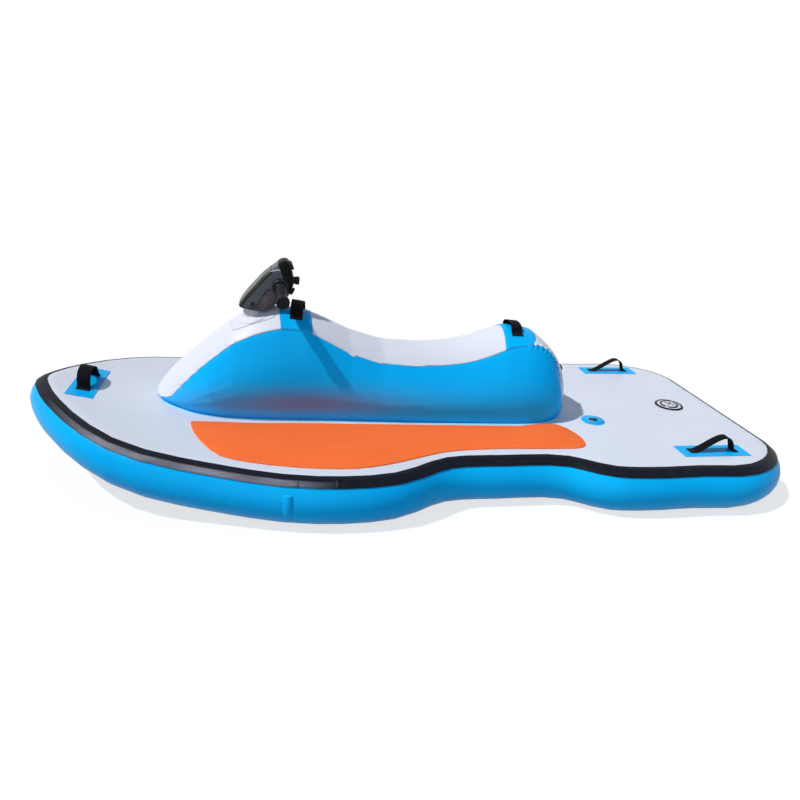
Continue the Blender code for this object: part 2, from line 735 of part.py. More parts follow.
def turned(name, profile, look, location, rotation, parent):
    """A round piece: its half section turned about its own axis."""
    bm = bmesh.new()
    rings = []
    for radius, z in profile:
        ring = []
        for s in range(ROUND_SIDES):
            angle = 2 * math.pi * s / ROUND_SIDES
            ring.append(bm.verts.new((radius * math.cos(angle), radius * math.sin(angle), z)))
        rings.append(ring)
    for ring_a, ring_b in zip(rings, rings[1:]):
        add_faces_between(bm, ring_a, ring_b)
    bm.faces.new(rings[0])
    bm.faces.new(rings[-1])
    return add_object(name, finish_mesh(bm, name), look, location, rotation, parent)


def build_valves():
    base = DECK_Z + GAP
    seat_base = base + VALVE_RISE + GAP
    cap_base = seat_base + VALVE_SEAT_RISE + GAP
    for name, ratio, bottom, depth, edge, look in (
            ("deck_valve_ring", 1.0, base, VALVE_RISE, VALVE_EDGE, BLACK),
            ("deck_valve_seat", VALVE_SEAT_RATIO, seat_base, VALVE_SEAT_RISE, VALVE_EDGE * 0.2, WHITE),
            ("deck_valve_cap", VALVE_CAP_RATIO, cap_base, VALVE_CAP_RISE, VALVE_EDGE * 0.5, WHITE)):
        plate = disc(name, VALVE_RADIUS * ratio, depth, bottom, 28, edge)
        add_object(name, finish_mesh(plate, name), look, location=(VALVE_X, 0, 0))
    build_hump_valve()


def build_hump_valve():
    """The bladder's own air valve, low on the centre of its tail."""
    above = hump_section(HUMP_VALVE_STATION - 0.2)[-1]
    below = hump_section(HUMP_VALVE_STATION + 0.2)[-1]
    spot = hump_section(HUMP_VALVE_STATION)[-1]
    lean = math.atan2(above.z - below.z, below.x - above.x)
    obj = turned("hump_valve", ((HUMP_VALVE_RADIUS, -HUMP_VALVE_BED), (HUMP_VALVE_RADIUS, HUMP_VALVE_RISE * 0.6),
                                (HUMP_VALVE_RADIUS * 0.7, HUMP_VALVE_RISE)), BLACK, spot, (0.0, lean, 0.0), None)
    trim_to_hump(obj, GAP + FABRIC + GAP)


def rear_face(profile, height):
    """The point on the housing's rear face at a height, and the lean of its outward normal from straight up."""
    for low, high in zip(profile[1:], profile[:-1]):
        if low.y <= height < high.y and low.x > GRIP_CENTRE[0]:
            share = (height - low.y) / (high.y - low.y)
            return low.lerp(high, share), math.atan2(high.y - low.y, low.x - high.x)
    raise ValueError("no rear face at that height")


def taper_share(height):
    """Half width of the console at a height above its base, as a share of the base's."""
    return 1.0 - CONSOLE_TOP_TAPER * height / CONSOLE_PROFILE[6][1]


def nose_share(x):
    """Half width of the console at a place along it, as a share of what the taper leaves."""
    reach = max(0.0, NOSE_START_X - x) / (NOSE_START_X - CONSOLE_PROFILE[0][0])
    return 1.0 - NOSE_TAPER * reach ** 2


def console_solid(name, profile, margin):
    """The console's side view given its width, narrower towards the top."""
    half = CONSOLE_HALF_WIDTH + margin
    body = flat_shape(name, [(p[0], p[1]) for p in profile], 2 * half, -half)
    bmesh.ops.rotate(body, verts=body.verts, cent=(0, 0, 0), matrix=Matrix.Rotation(math.radians(90), 3, "X"))
    for v in body.verts:
        side = math.copysign(1.0, v.co.y)
        v.co.y = side * (CONSOLE_HALF_WIDTH * taper_share(v.co.z) * nose_share(v.co.x) + margin)
        v.co.z += STEER_CLEARANCE
    return finish_mesh(body, name)


def build_console():
    frame = bpy.data.objects.new("steering_axis", None)
    craft.objects.link(frame)
    frame.location = (STEER_X, 0.0, STEER_Z)

    boot = bmesh.new()
    bmesh.ops.create_cone(boot, cap_ends=True, segments=ROUND_SIDES, radius1=1.0, radius2=BOOT_TOP_RATIO,
                          depth=BOOT_SINK)
    bmesh.ops.scale(boot, verts=boot.verts, vec=(BOOT_RADIUS_X, BOOT_RADIUS_Y, 1.0))
    bmesh.ops.translate(boot, verts=boot.verts, vec=(0, 0, -BOOT_SINK / 2))
    obj = add_object("console_boot", finish_mesh(boot, "console_boot"), WHITE, location=(STEER_X, 0, STEER_Z))
    trim_to_hump(obj, PATCH_SEAT)

    stem = disc("console_stem", STEM_RADIUS, STEER_CLEARANCE - 2 * GAP, GAP)
    add_object("console_stem", finish_mesh(stem, "console_stem"), BLACK, parent=frame)

    profile = smooth_through([(x, z, 0.0) for x, z in CONSOLE_PROFILE], 2)
    housing = add_object("console_housing", console_solid("console_housing", profile, 0.0), HOUSING, parent=frame)
    round_off = housing.modifiers.new("edge", "BEVEL")
    round_off.width = CONSOLE_EDGE
    round_off.segments = 2
    round_off.limit_method = "ANGLE"
    round_off.angle_limit = math.radians(60)
    hollow = console_solid("console_inner", profile, -PANEL_DEPTH)
    build_side_panels(housing, hollow)
    seat = add_cutter("collar_cutter", console_solid("collar_cutter", profile, GAP), location=frame.location)
    for name, side in (("port", -1.0), ("starboard", 1.0)):
        build_grip(name, side, frame, seat)

    for name, share, height, radius, length in KNOBS:
        spot, lean = rear_face(profile, height)
        reach = -share * CONSOLE_HALF_WIDTH
        place = (spot.x + GAP * math.sin(lean), reach, spot.y + GAP * math.cos(lean) + STEER_CLEARANCE)
        turned(name, ((radius, 0.0), (radius, length * 0.8), (radius * 0.8, length)), BLACK,
               place, (0.0, lean, 0.0), frame)


def build_side_panels(housing, hollow):
    """Shallow recesses in both flanks, their floor level with a slightly narrower housing."""
    place = (STEER_X, 0.0, STEER_Z)
    inner = add_cutter("console_inner", hollow, location=place)
    for name, side in (("port_panel_cutter", -1.0), ("starboard_panel_cutter", 1.0)):
        block = flat_shape(name, PANEL_PROFILE, CONSOLE_HALF_WIDTH, 0.0)
        bmesh.ops.rotate(block, verts=block.verts, cent=(0, 0, 0), matrix=Matrix.Rotation(math.radians(90), 3, "X"))
        if side > 0:
            bmesh.ops.scale(block, verts=block.verts, vec=(1, -1, 1))
        lift = (0.0, side * PANEL_DEPTH * 2, STEER_CLEARANCE)
        bmesh.ops.translate(block, verts=block.verts, vec=lift)
        cutter = add_cutter(name, finish_mesh(block, name), location=place)
        cut_away(cutter, inner)
        cut_away(housing, cutter)


def build_grip(name, side, frame, seat):
    """A handlebar grip and the collar it leaves the console by, swept aft and drooping a little."""
    sweep = math.radians(GRIP_SWEEP_DEG)
    droop = math.radians(GRIP_DROOP_DEG)
    out = Vector((math.sin(sweep), side * math.cos(sweep), -math.sin(droop))).normalized()
    turn = out.to_track_quat("Z", "Y").to_euler()
    half = CONSOLE_HALF_WIDTH * taper_share(GRIP_CENTRE[1])
    root = Vector((GRIP_CENTRE[0], side * half, GRIP_CENTRE[1] + STEER_CLEARANCE))
    collar = turned(name + "_collar", ((COLLAR_RADIUS, -COLLAR_BED), (COLLAR_RADIUS, COLLAR_REACH - COLLAR_EDGE),
                                       (COLLAR_RADIUS - COLLAR_EDGE, COLLAR_REACH)), HOUSING, root, turn, frame)
    cut_away(collar, seat)
    turned(name + "_grip", GRIP_PROFILE, BLACK, root + out * (COLLAR_REACH + GAP), turn, frame)


build_board()
build_hump()
build_pads()
build_deck_handles()
build_hump_handles()
build_ring_patch()
build_valves()
build_console()
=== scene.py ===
"""Inflatable personal watercraft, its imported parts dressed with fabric, webbing, foam and moulded plastic."""

import logging
import math
from dataclasses import dataclass, field, replace
from enum import Enum
from typing import Callable, Dict, Iterable, List, Optional, Sequence, Tuple, Union

import bmesh
import bpy
from mathutils import Matrix, Vector, noise
from mathutils.bvhtree import BVHTree
from mathutils.kdtree import KDTree


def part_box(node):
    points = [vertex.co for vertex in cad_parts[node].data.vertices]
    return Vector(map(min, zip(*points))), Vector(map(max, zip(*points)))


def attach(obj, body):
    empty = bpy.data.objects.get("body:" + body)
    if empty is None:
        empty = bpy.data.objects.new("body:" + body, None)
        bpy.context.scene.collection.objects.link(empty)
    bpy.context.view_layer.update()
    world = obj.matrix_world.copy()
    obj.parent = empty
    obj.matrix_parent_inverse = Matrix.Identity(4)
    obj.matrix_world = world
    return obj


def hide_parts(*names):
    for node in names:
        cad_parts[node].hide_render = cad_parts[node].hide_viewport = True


LOG = logging.getLogger("watercraft")
Colour = Tuple[float, float, float]
Place = Tuple[float, float, float]
Profile = Sequence[Tuple[float, float]]
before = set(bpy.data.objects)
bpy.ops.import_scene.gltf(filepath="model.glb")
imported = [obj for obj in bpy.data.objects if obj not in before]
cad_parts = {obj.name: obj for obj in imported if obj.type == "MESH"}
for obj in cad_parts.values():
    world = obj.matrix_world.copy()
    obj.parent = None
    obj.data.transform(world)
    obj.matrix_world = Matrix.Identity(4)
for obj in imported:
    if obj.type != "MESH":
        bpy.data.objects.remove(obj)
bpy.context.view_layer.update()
DECK_TOP = 0.2003
WELD_DISTANCE = 2e-5
SLIVER = 1e-5
TOUCHING = 1e-6
SQUARE_ON = 0.9
WHITE = (1.0, 1.0, 1.0)


class Body(Enum):
    """The moving bodies of the craft."""

    CRAFT = "craft"
    CONSOLE = "console"


class Slot(Enum):
    """The record's material slots."""

    BLUE_FABRIC = "blue_fabric"
    WHITE_FABRIC = "white_fabric"
    WEBBING = "black_webbing"
    RUBBER = "black_rubber"
    FOAM = "orange_foam"
    BLACK_PLASTIC = "black_plastic"
    WHITE_PLASTIC = "white_plastic"


class Shading(Enum):
    """The angle in degrees below which two faces that meet shade as one."""

    TAPE = 25.0
    KNOB = 28.0
    SHEET = 30.0
    FITTING = 35.0
    HOUSING = 38.0
    FLANGE = 40.0
    ROUNDED = 50.0
    SKIN = 60.0


class Side(Enum):
    """The two sides of the craft, with the sign that each has along Y."""

    PORT = -1.0
    STARBOARD = 1.0

    @property
    def label(self) -> str:
        """The side's name as it stands in node names."""
        return self.name.lower()


# Shader graph


class Signal:
    """One output of a shader node, on which Python arithmetic adds Math nodes."""

    def __init__(self, graph: "FinishGraph", socket: bpy.types.NodeSocket) -> None:
        """Keeps the graph that the socket belongs to."""
        self.graph = graph
        self.socket = socket

    def maths(self, operation: str, first: "Value", second: "Value" = 0.0) -> "Signal":
        """Adds one Math node.

        Args:
            operation: the Math node's operation.
            first: its first value.
            second: its second value.

        Returns:
            The node's result.
        """
        return self.graph.node("ShaderNodeMath", {"operation": operation}, {0: first, 1: second})

    def __add__(self, other: "Value") -> "Signal":
        """Sum."""
        return self.maths("ADD", self, other)

    __radd__ = __add__

    def __sub__(self, other: "Value") -> "Signal":
        """Difference."""
        return self.maths("SUBTRACT", self, other)

    def __rsub__(self, other: "Value") -> "Signal":
        """Difference from a number."""
        return self.maths("SUBTRACT", other, self)

    def __mul__(self, other: "Value") -> "Signal":
        """Product."""
        return self.maths("MULTIPLY", self, other)

    __rmul__ = __mul__

    def __truediv__(self, other: "Value") -> "Signal":
        """Quotient."""
        return self.maths("DIVIDE", self, other)

    def sine(self) -> "Signal":
        """Sine of the value."""
        return self.maths("SINE", self)

    def exponential(self) -> "Signal":
        """The number e raised to the value."""
        return self.maths("EXPONENT", self)

    def larger(self, other: "Value") -> "Signal":
        """The larger of the two values."""
        return self.maths("MAXIMUM", self, other)

    def size(self) -> "Signal":
        """Value without its sign."""
        return self.maths("ABSOLUTE", self)

    def ramp(self, low: float, high: float) -> "Signal":
        """Eases from 0 at low to 1 at high.

        Args:
            low: the value that gives 0.
            high: the value that gives 1.

        Returns:
            The eased share.
        """
        return self.graph.node("ShaderNodeMapRange", {"interpolation_type": "SMOOTHSTEP"},
                               {"Value": self, "From Min": low, "From Max": high})


Value = Union[Signal, float]


class NodeGraph:
    """A node tree, to which one call adds a node with its settings and inputs."""

    def __init__(self, tree: bpy.types.NodeTree, output: str) -> None:
        """Empties the tree and gives it its output node.

        Args:
            tree: the tree.
            output: the output node's type.
        """
        self.tree = tree
        self.tree.nodes.clear()
        self.surface = self.tree.nodes.new(output).inputs["Surface"]

    def feed(self, socket: bpy.types.NodeSocket, value: object) -> None:
        """Links a signal to a socket, or sets the socket's own value.

        Args:
            socket: the input socket.
            value: a signal, a number, a colour or a vector.
        """
        if isinstance(value, Signal):
            self.tree.links.new(value.socket, socket)
        elif isinstance(value, (tuple, list)) and socket.type == "RGBA":
            socket.default_value = (*value[:3], 1.0)
        else:
            socket.default_value = value

    def node(self, kind: str, settings: Optional[Dict[str, object]] = None,
             inputs: Optional[Dict[Union[int, str], object]] = None, output: Union[int, str] = 0) -> Signal:
        """Adds a node, sets it up, and feeds its sockets.

        Args:
            kind: the node's type.
            settings: its properties.
            inputs: values or signals by socket name or number.
            output: the output that is wanted.

        Returns:
            That output.
        """
        node = self.tree.nodes.new(kind)
        for key, value in (settings or {}).items():
            setattr(node, key, value)
        for key, value in (inputs or {}).items():
            self.feed(node.inputs[key], value)
        return Signal(self, node.outputs[output])

    def any_ray(self, *kinds: str) -> Signal:
        """Tells rays of some kinds from all others.

        Args:
            *kinds: the names of the kinds on the Light Path node.

        Returns:
            1 for a ray of any of the kinds, and 0 for the rest.
        """
        first, *others = (self.node("ShaderNodeLightPath", output=kind) for kind in kinds)
        for ray in others:
            first = first.larger(ray)
        return first


class FinishGraph(NodeGraph):
    """The node tree of one material, with its Principled shader."""

    def __init__(self, name: str) -> None:
        """Starts a material whose output is a Principled shader.

        Args:
            name: the material's name.
        """
        self.material = bpy.data.materials.new(name)
        self.material.use_nodes = True
        super().__init__(self.material.node_tree, "ShaderNodeOutputMaterial")
        self.shader = self.node("ShaderNodeBsdfPrincipled")
        self.feed(self.surface, self.shader)

    def place(self) -> Signal:
        """Object coordinates, in metres."""
        return self.node("ShaderNodeTexCoord", output="Object")

    def axes(self, place: Optional[Signal] = None) -> List[Signal]:
        """The coordinates one by one, the object's own unless others are given."""
        split = self.node("ShaderNodeSeparateXYZ", inputs={0: place or self.place()})
        return [Signal(self, socket) for socket in split.socket.node.outputs]

    def attribute(self, name: str) -> Signal:
        """A number kept on the piece's own vertices."""
        return self.node("ShaderNodeAttribute", {"attribute_name": name}, output="Fac")

    def noise(self, scale: float, detail: float = 3.0, roughness: float = 0.55,
              place: Optional[Signal] = None) -> Signal:
        """Cloudy noise from 0 to 1.

        Args:
            scale: its fineness, per metre.
            detail: its octaves.
            roughness: how much the octaves show.
            place: coordinates other than the object's own.

        Returns:
            The noise.
        """
        return self.node("ShaderNodeTexNoise", None, {"Vector": place or self.place(), "Scale": scale,
                                                      "Detail": detail, "Roughness": roughness})

    def stretched(self, scale: Place) -> Signal:
        """Object coordinates scaled axis by axis."""
        return self.node("ShaderNodeMapping", None, {"Vector": self.place(), "Scale": scale})

    def mix(self, share: Value, first: object, second: object) -> Signal:
        """A colour between two colours.

        Args:
            share: 0 for the first, 1 for the second.
            first: a colour or a signal.
            second: a colour or a signal.

        Returns:
            The mixed colour.
        """
        return self.node("ShaderNodeMix", {"data_type": "RGBA"}, {0: share, 6: first, 7: second}, output=2)

    def bump(self, height: Signal, distance: float, strength: float = 1.0,
             under: Optional[Signal] = None) -> Signal:
        """Turns a height from 0 to 1 into a normal.

        Args:
            height: the height.
            distance: how tall a height of 1 is, in metres.
            strength: how strongly it shows.
            under: a normal that it is added to.

        Returns:
            The normal.
        """
        inputs: Dict[Union[int, str], object] = {"Height": height, "Distance": distance, "Strength": strength}
        if under is not None:
            inputs["Normal"] = under
        return self.node("ShaderNodeBump", None, inputs)

    def dress(self, **sockets: object) -> bpy.types.Material:
        """Feeds the Principled shader.

        Args:
            **sockets: values by socket name, with _ for each space.

        Returns:
            The material.
        """
        inputs = self.shader.socket.node.inputs
        for key, value in sockets.items():
            self.feed(inputs[key.replace("_", " ").title().replace("Ior", "IOR")], value)
        return self.material


# Finishes


@dataclass(frozen=True)
class Finish:
    """A finish that is built once and shared by the pieces that wear it."""

    name: str
    slot: Slot

    def material(self) -> bpy.types.Material:
        """The finish as a material, built the first time it is asked for."""
        known = bpy.data.materials.get(self.name)
        return known if known is not None else self.build(FinishGraph(self.name))

    def build(self, graph: FinishGraph) -> bpy.types.Material:
        """Builds the node tree.

        Args:
            graph: an empty graph with the finish's name.

        Returns:
            The material.
        """
        raise NotImplementedError


@dataclass(frozen=True)
class WeldedFabric(Finish):
    """Coated fabric of the hull, the bladder and their patches: soft sheen, faint base cloth, light dust."""

    colour: Colour = (0.001, 0.450, 0.90)
    deep: Colour = (0.001, 0.390, 0.84)
    # The colour that dust is mixed towards, which also carries any painted reflection that shade() adds.
    dust: Colour = (0.06, 0.44, 0.80)
    dust_share: float = 0.05
    roughness: float = 0.36
    gloss: float = 0.12
    coat: float = 0.02
    coat_roughness: float = 0.22
    cloth_pitch: float = 0.0011
    cloth_depth: float = 0.00006
    swell: float = 0.0016
    cloud_scale: float = 2.3
    cloud_ends: Tuple[float, float] = (0.30, 0.75)

    def build(self, graph: FinishGraph) -> bpy.types.Material:
        """Base cloth through the coating, dust in the fine noise with any painted reflection from shade(), and
        slow swells in the skin.

        Args:
            graph: an empty graph with the finish's name.

        Returns:
            The material.
        """
        across, along, up = graph.axes()
        turns = 2 * math.pi / self.cloth_pitch
        cloth = (across * turns).sine() * (along * turns).sine() + (up * turns).sine()
        scuff = graph.noise(38.0, 6.0, 0.62).ramp(0.52, 0.78)
        patches = graph.noise(5.0, 3.0).ramp(0.45, 0.75)
        # Dust in soft patches, plus the painted reflection that shade() gives by place.
        dust_and_reflection = scuff * patches * self.dust_share + self.shade(graph)
        colour = graph.mix(dust_and_reflection, self.tone(graph), self.dust)
        rough = graph.noise(7.0, 4.0) * 0.12 + scuff * 0.10 + (self.roughness - 0.08)
        skin = graph.bump(graph.noise(3.2, 1.0), self.swell * 6.0, 0.35)
        normal = graph.bump(cloth * 0.5 + scuff, self.cloth_depth, 0.6, under=skin)
        return graph.dress(base_color=colour, roughness=rough, specular_ior_level=self.gloss,
                           coat_weight=self.coat, coat_roughness=self.coat_roughness, normal=normal)

    def tone(self, graph: FinishGraph) -> Signal:
        """The coating's own colour, in soft clouds of its two shades."""
        cloud = graph.noise(self.cloud_scale, 2.0).ramp(*self.cloud_ends)
        return graph.mix(cloud, self.deep, self.colour)

    def shade(self, graph: FinishGraph) -> Value:
        """A painted reflection, by place, mixed in with the dust; plain fabric has none.

        Args:
            graph: the graph that it is built in.

        Returns:
            The share of painted reflection to add.
        """
        return 0.0


@dataclass(frozen=True)
class RubStrakeRubber(Finish):
    """Extruded rubber strake: fine lengthwise ribs, a scored line, and a painted sheen on the port bow stretch.
    """

    colour: Colour = (0.004, 0.006, 0.012)
    worn: Colour = (0.016, 0.019, 0.028)
    # Pale grey painted over the port bow stretch: a painted sheen for the key light's glare off the rubber.
    chalk: Colour = (0.270, 0.275, 0.335)
    line: Colour = (0.003, 0.003, 0.005)
    score_at: float = 25.0
    score_half: float = 1.2
    rib_pitch: float = 2.4
    chalk_ends: Tuple[float, float, float, float] = (-1.46, -1.18, -0.62, -0.34)
    chalk_port_side: Tuple[float, float] = (-0.2, 0.0)
    chalk_rise: float = 5.0
    chalk_fade: Tuple[float, float] = (38.0, 46.0)

    def build(self, graph: FinishGraph) -> bpy.types.Material:
        """Ribs, the scored line and the painted sheen's band follow the girth kept on the strake's vertices.

        Args:
            graph: an empty graph with the finish's name.

        Returns:
            The material.
        """
        across, along, _ = graph.axes()
        girth = graph.attribute("girth")
        scored = 1.0 - (girth - self.score_at).size().ramp(self.score_half * 0.5, self.score_half)
        ribs = (girth * (2 * math.pi / self.rib_pitch)).sine() * 0.5 + 0.5
        wear = graph.noise(26.0, 6.0, 0.65).ramp(0.45, 0.85)
        streaks = graph.noise(30.0, 5.0, 0.6, graph.stretched((0.12, 0.12, 1.0))).ramp(0.25, 0.75)
        # Painted sheen: below the scored line on the port bow stretch, the rubber is paled towards grey in
        # streaks.
        start, full, fade, end = self.chalk_ends
        port = 1.0 - along.ramp(*self.chalk_port_side)
        stretch = across.ramp(start, full) * (1.0 - across.ramp(fade, end)) * port
        below = girth.ramp(self.score_at, self.score_at + self.chalk_rise)
        middle = below * (1.0 - girth.ramp(*self.chalk_fade) * 0.6)
        sheen_share = stretch * middle * (streaks * 0.55 + 0.40)
        tone = graph.mix(wear * 0.5 + ribs * 0.2, self.colour, self.worn)
        pale = graph.mix(sheen_share, tone, self.chalk)
        colour = graph.mix(scored * 0.9, pale, self.line)
        rough = graph.noise(60.0, 4.0) * 0.14 + 0.36
        height = ribs * 0.35 - scored * 2.0 + wear * 0.25
        return graph.dress(base_color=colour, roughness=rough, specular_ior_level=0.07,
                           normal=graph.bump(height, 0.0004, 0.7))


@dataclass(frozen=True)
class GroovedFoam(Finish):
    """Closed-cell foam decking with fine grooves along the craft, darkened with painted shade."""

    colour: Colour = (0.97, 0.180, 0.042)
    # A darker orange: painted shade in the grooves, and the faint tonal fade across the pad.
    groove: Colour = (0.55, 0.070, 0.014)
    pitch: float = 0.0135
    waver: float = 0.004

    def build(self, graph: FinishGraph) -> bpy.types.Material:
        """Grooves run along X with a slight waver, over a closed-cell grain; painted shade darkens the grooves.

        Args:
            graph: an empty graph with the finish's name.

        Returns:
            The material.
        """
        across, along, _ = graph.axes()
        waver = graph.noise(9.0, 2.0, place=graph.stretched((0.5, 1.0, 1.0))) * self.waver
        turn = (along + waver) * (math.pi / self.pitch)
        ridge = turn.sine().size()
        cut = 1.0 - ridge.ramp(0.10, 0.34)
        cells = graph.noise(900.0, 3.0, 0.6)
        fade = graph.noise(14.0, 4.0, place=graph.stretched((0.25, 1.0, 1.0))).ramp(0.30, 0.80)
        tone = graph.mix(fade * 0.10, self.colour, self.groove)
        # Painted shade: the grooves are mixed towards the darker orange.
        colour = graph.mix(cut * 0.42, tone, self.groove)
        height = ridge.ramp(0.0, 0.40) * 0.8 + cells * 0.12
        return graph.dress(base_color=colour, roughness=cells * 0.15 + 0.74, specular_ior_level=0.10,
                           normal=graph.bump(height, 0.0009, 0.8))


@dataclass(frozen=True)
class Webbing(Finish):
    """Woven polyester webbing; its weave follows the strap's own UV map, in metres."""

    colour: Colour = (0.0015, 0.0018, 0.0035)
    thread: Colour = (0.010, 0.011, 0.016)
    weft_pitch: float = 0.0022
    warp_pitch: float = 0.0018

    def build(self, graph: FinishGraph) -> bpy.types.Material:
        """Warp and weft as crossed waves, with paler fuzz on the high threads.

        Args:
            graph: an empty graph with the finish's name.

        Returns:
            The material.
        """
        run, width, _ = graph.axes(graph.node("ShaderNodeUVMap", {"uv_map": "strap"}))
        weft = (run * (2 * math.pi / self.weft_pitch)).sine()
        warp = (width * (2 * math.pi / self.warp_pitch)).sine()
        weave = weft * warp * 0.5 + 0.5
        fuzz = graph.noise(240.0, 5.0, 0.7)
        colour = graph.mix(weave.ramp(0.45, 1.0) * fuzz, self.colour, self.thread)
        return graph.dress(base_color=colour, roughness=fuzz * 0.2 + 0.66, specular_ior_level=0.07,
                           normal=graph.bump(weave + fuzz * 0.3, 0.0004, 0.7))


@dataclass(frozen=True)
class MouldedPlastic(Finish):
    """Injection-moulded plastic with a spark-eroded grain and rubbed high spots."""

    colour: Colour = (0.030, 0.034, 0.040)
    rubbed: Colour = (0.075, 0.080, 0.090)
    roughness: float = 0.40
    grain_scale: float = 700.0
    grain_depth: float = 0.00015
    rubbed_share: float = 0.5
    gloss: float = 0.30

    def build(self, graph: FinishGraph) -> bpy.types.Material:
        """Fine grain, cloudy gloss, and a paler film where hands rub.

        Args:
            graph: an empty graph with the finish's name.

        Returns:
            The material.
        """
        grain = graph.noise(self.grain_scale, 3.0, 0.6)
        film = graph.noise(24.0, 5.0, 0.6).ramp(0.45, 0.85)
        colour = graph.mix(film * self.rubbed_share, self.colour, self.rubbed)
        rough = film * 0.12 + grain * 0.08 + (self.roughness - 0.06)
        return graph.dress(base_color=colour, roughness=rough, specular_ior_level=self.gloss,
                           normal=graph.bump(grain, self.grain_depth, 0.6))


@dataclass(frozen=True)
class RibbedRubber(Finish):
    """Handlebar rubber: matt, finely pimpled and slightly greyed."""

    colour: Colour = (0.0045, 0.0060, 0.0090)
    greyed: Colour = (0.016, 0.019, 0.025)
    pimple_scale: float = 520.0

    def build(self, graph: FinishGraph) -> bpy.types.Material:
        """Pimples from a cell texture, and greying in soft clouds.

        Args:
            graph: an empty graph with the finish's name.

        Returns:
            The material.
        """
        inputs = {"Vector": graph.place(), "Scale": self.pimple_scale}
        pimples = graph.node("ShaderNodeTexVoronoi", None, inputs, output="Distance")
        film = graph.noise(40.0, 4.0).ramp(0.4, 0.8)
        colour = graph.mix(film * 0.6, self.colour, self.greyed)
        return graph.dress(base_color=colour, roughness=film * 0.15 + 0.42, specular_ior_level=0.12,
                           normal=graph.bump(pimples, 0.0004, 0.6))


@dataclass(frozen=True)
class BrushedSteel(Finish):
    """Stainless steel wire."""

    colour: Colour = (0.62, 0.64, 0.67)

    def build(self, graph: FinishGraph) -> bpy.types.Material:
        """Fine drawing lines and a few dull spots.

        Args:
            graph: an empty graph with the finish's name.

        Returns:
            The material.
        """
        lines = graph.noise(1400.0, 2.0)
        dull = graph.noise(90.0, 4.0).ramp(0.5, 0.8)
        return graph.dress(base_color=self.colour, metallic=1.0, roughness=dull * 0.2 + lines * 0.1 + 0.18,
                           normal=graph.bump(lines, 0.00005, 0.5))


HULL_BLUE = WeldedFabric("hull_blue_fabric", Slot.BLUE_FABRIC, gloss=0.06, coat=0.01)
PATCH_BLUE = WeldedFabric("patch_blue_fabric", Slot.BLUE_FABRIC, colour=(0.001, 0.43, 0.88),
                          deep=(0.001, 0.40, 0.85), gloss=0.05, coat=0.0, swell=0.0004)
DECK_WHITE = WeldedFabric("deck_white_fabric", Slot.WHITE_FABRIC, colour=(0.655, 0.700, 0.780),
                          deep=(0.615, 0.660, 0.740), dust=(0.50, 0.51, 0.53), dust_share=0.16,
                          roughness=0.46, gloss=0.25, swell=0.0008)
TOP_WHITE = WeldedFabric("bladder_white_fabric", Slot.WHITE_FABRIC, colour=(0.700, 0.725, 0.800),
                         deep=(0.655, 0.680, 0.760), dust=(0.52, 0.50, 0.52), dust_share=0.10, roughness=0.38,
                         gloss=0.12, swell=0.0012)
BOOT_WHITE = WeldedFabric("boot_white_fabric", Slot.WHITE_FABRIC, colour=(0.62, 0.63, 0.69),
                          deep=(0.50, 0.51, 0.57), dust=(0.40, 0.40, 0.44), dust_share=0.20, roughness=0.5,
                          gloss=0.2, swell=0.0030)
STRAKE_RUBBER = RubStrakeRubber("rub_strake_rubber", Slot.RUBBER)
PAD_FOAM = GroovedFoam("orange_grooved_foam", Slot.FOAM)
STRAP_WEBBING = Webbing("strap_webbing", Slot.WEBBING)
THREAD = MouldedPlastic("bonded_thread", Slot.WEBBING, colour=(0.045, 0.047, 0.055),
                        rubbed=(0.09, 0.09, 0.10), roughness=0.5, grain_scale=2500.0)
COWL_PLASTIC = MouldedPlastic("cowl_plastic", Slot.BLACK_PLASTIC, colour=(0.046, 0.056, 0.071),
                              rubbed=(0.125, 0.138, 0.158), roughness=0.34, gloss=0.20)
DASH_PLASTIC = MouldedPlastic("dash_plastic", Slot.BLACK_PLASTIC, colour=(0.0025, 0.0035, 0.0040),
                              rubbed=(0.014, 0.018, 0.015), roughness=0.5, gloss=0.06, grain_scale=140.0,
                              grain_depth=0.0010)
COLLAR_PLASTIC = MouldedPlastic("collar_plastic", Slot.BLACK_PLASTIC, colour=(0.014, 0.018, 0.025),
                                rubbed=(0.034, 0.040, 0.050), roughness=0.34, gloss=0.15)
TRIM_PLASTIC = MouldedPlastic("leading_edge_plastic", Slot.BLACK_PLASTIC, colour=(0.018, 0.023, 0.022),
                              rubbed=(0.065, 0.076, 0.074), roughness=0.30, rubbed_share=0.6, gloss=0.15)
PANEL_PLASTIC = MouldedPlastic("panel_plastic", Slot.BLACK_PLASTIC, colour=(0.062, 0.054, 0.060),
                               rubbed=(0.19, 0.17, 0.18), roughness=0.5, gloss=0.15, rubbed_share=0.8)
DARK_PLASTIC = MouldedPlastic("dark_plastic", Slot.BLACK_PLASTIC, colour=(0.005, 0.007, 0.010),
                              rubbed=(0.022, 0.026, 0.030), roughness=0.42, gloss=0.10)
KNOB_PLASTIC = MouldedPlastic("knob_plastic", Slot.BLACK_PLASTIC, colour=(0.006, 0.010, 0.008),
                              rubbed=(0.050, 0.066, 0.054), roughness=0.36, gloss=0.12, grain_scale=300.0,
                              grain_depth=0.0005)
# A pale plastic for the small insert high on each console flank: a painted highlight for the glint along the
# flank's top edge.
GLINT_PLASTIC = MouldedPlastic("painted_glint_plastic", Slot.BLACK_PLASTIC, colour=(0.52, 0.58, 0.66),
                               rubbed=(0.36, 0.41, 0.48), roughness=0.30)
PALE_PLASTIC = MouldedPlastic("pale_plastic", Slot.WHITE_PLASTIC, colour=(0.62, 0.66, 0.72),
                              rubbed=(0.50, 0.53, 0.59), roughness=0.35, rubbed_share=0.4)
GRIP_RUBBER = RibbedRubber("grip_rubber", Slot.RUBBER)
STEEL = BrushedSteel("ring_steel", Slot.BLACK_PLASTIC)


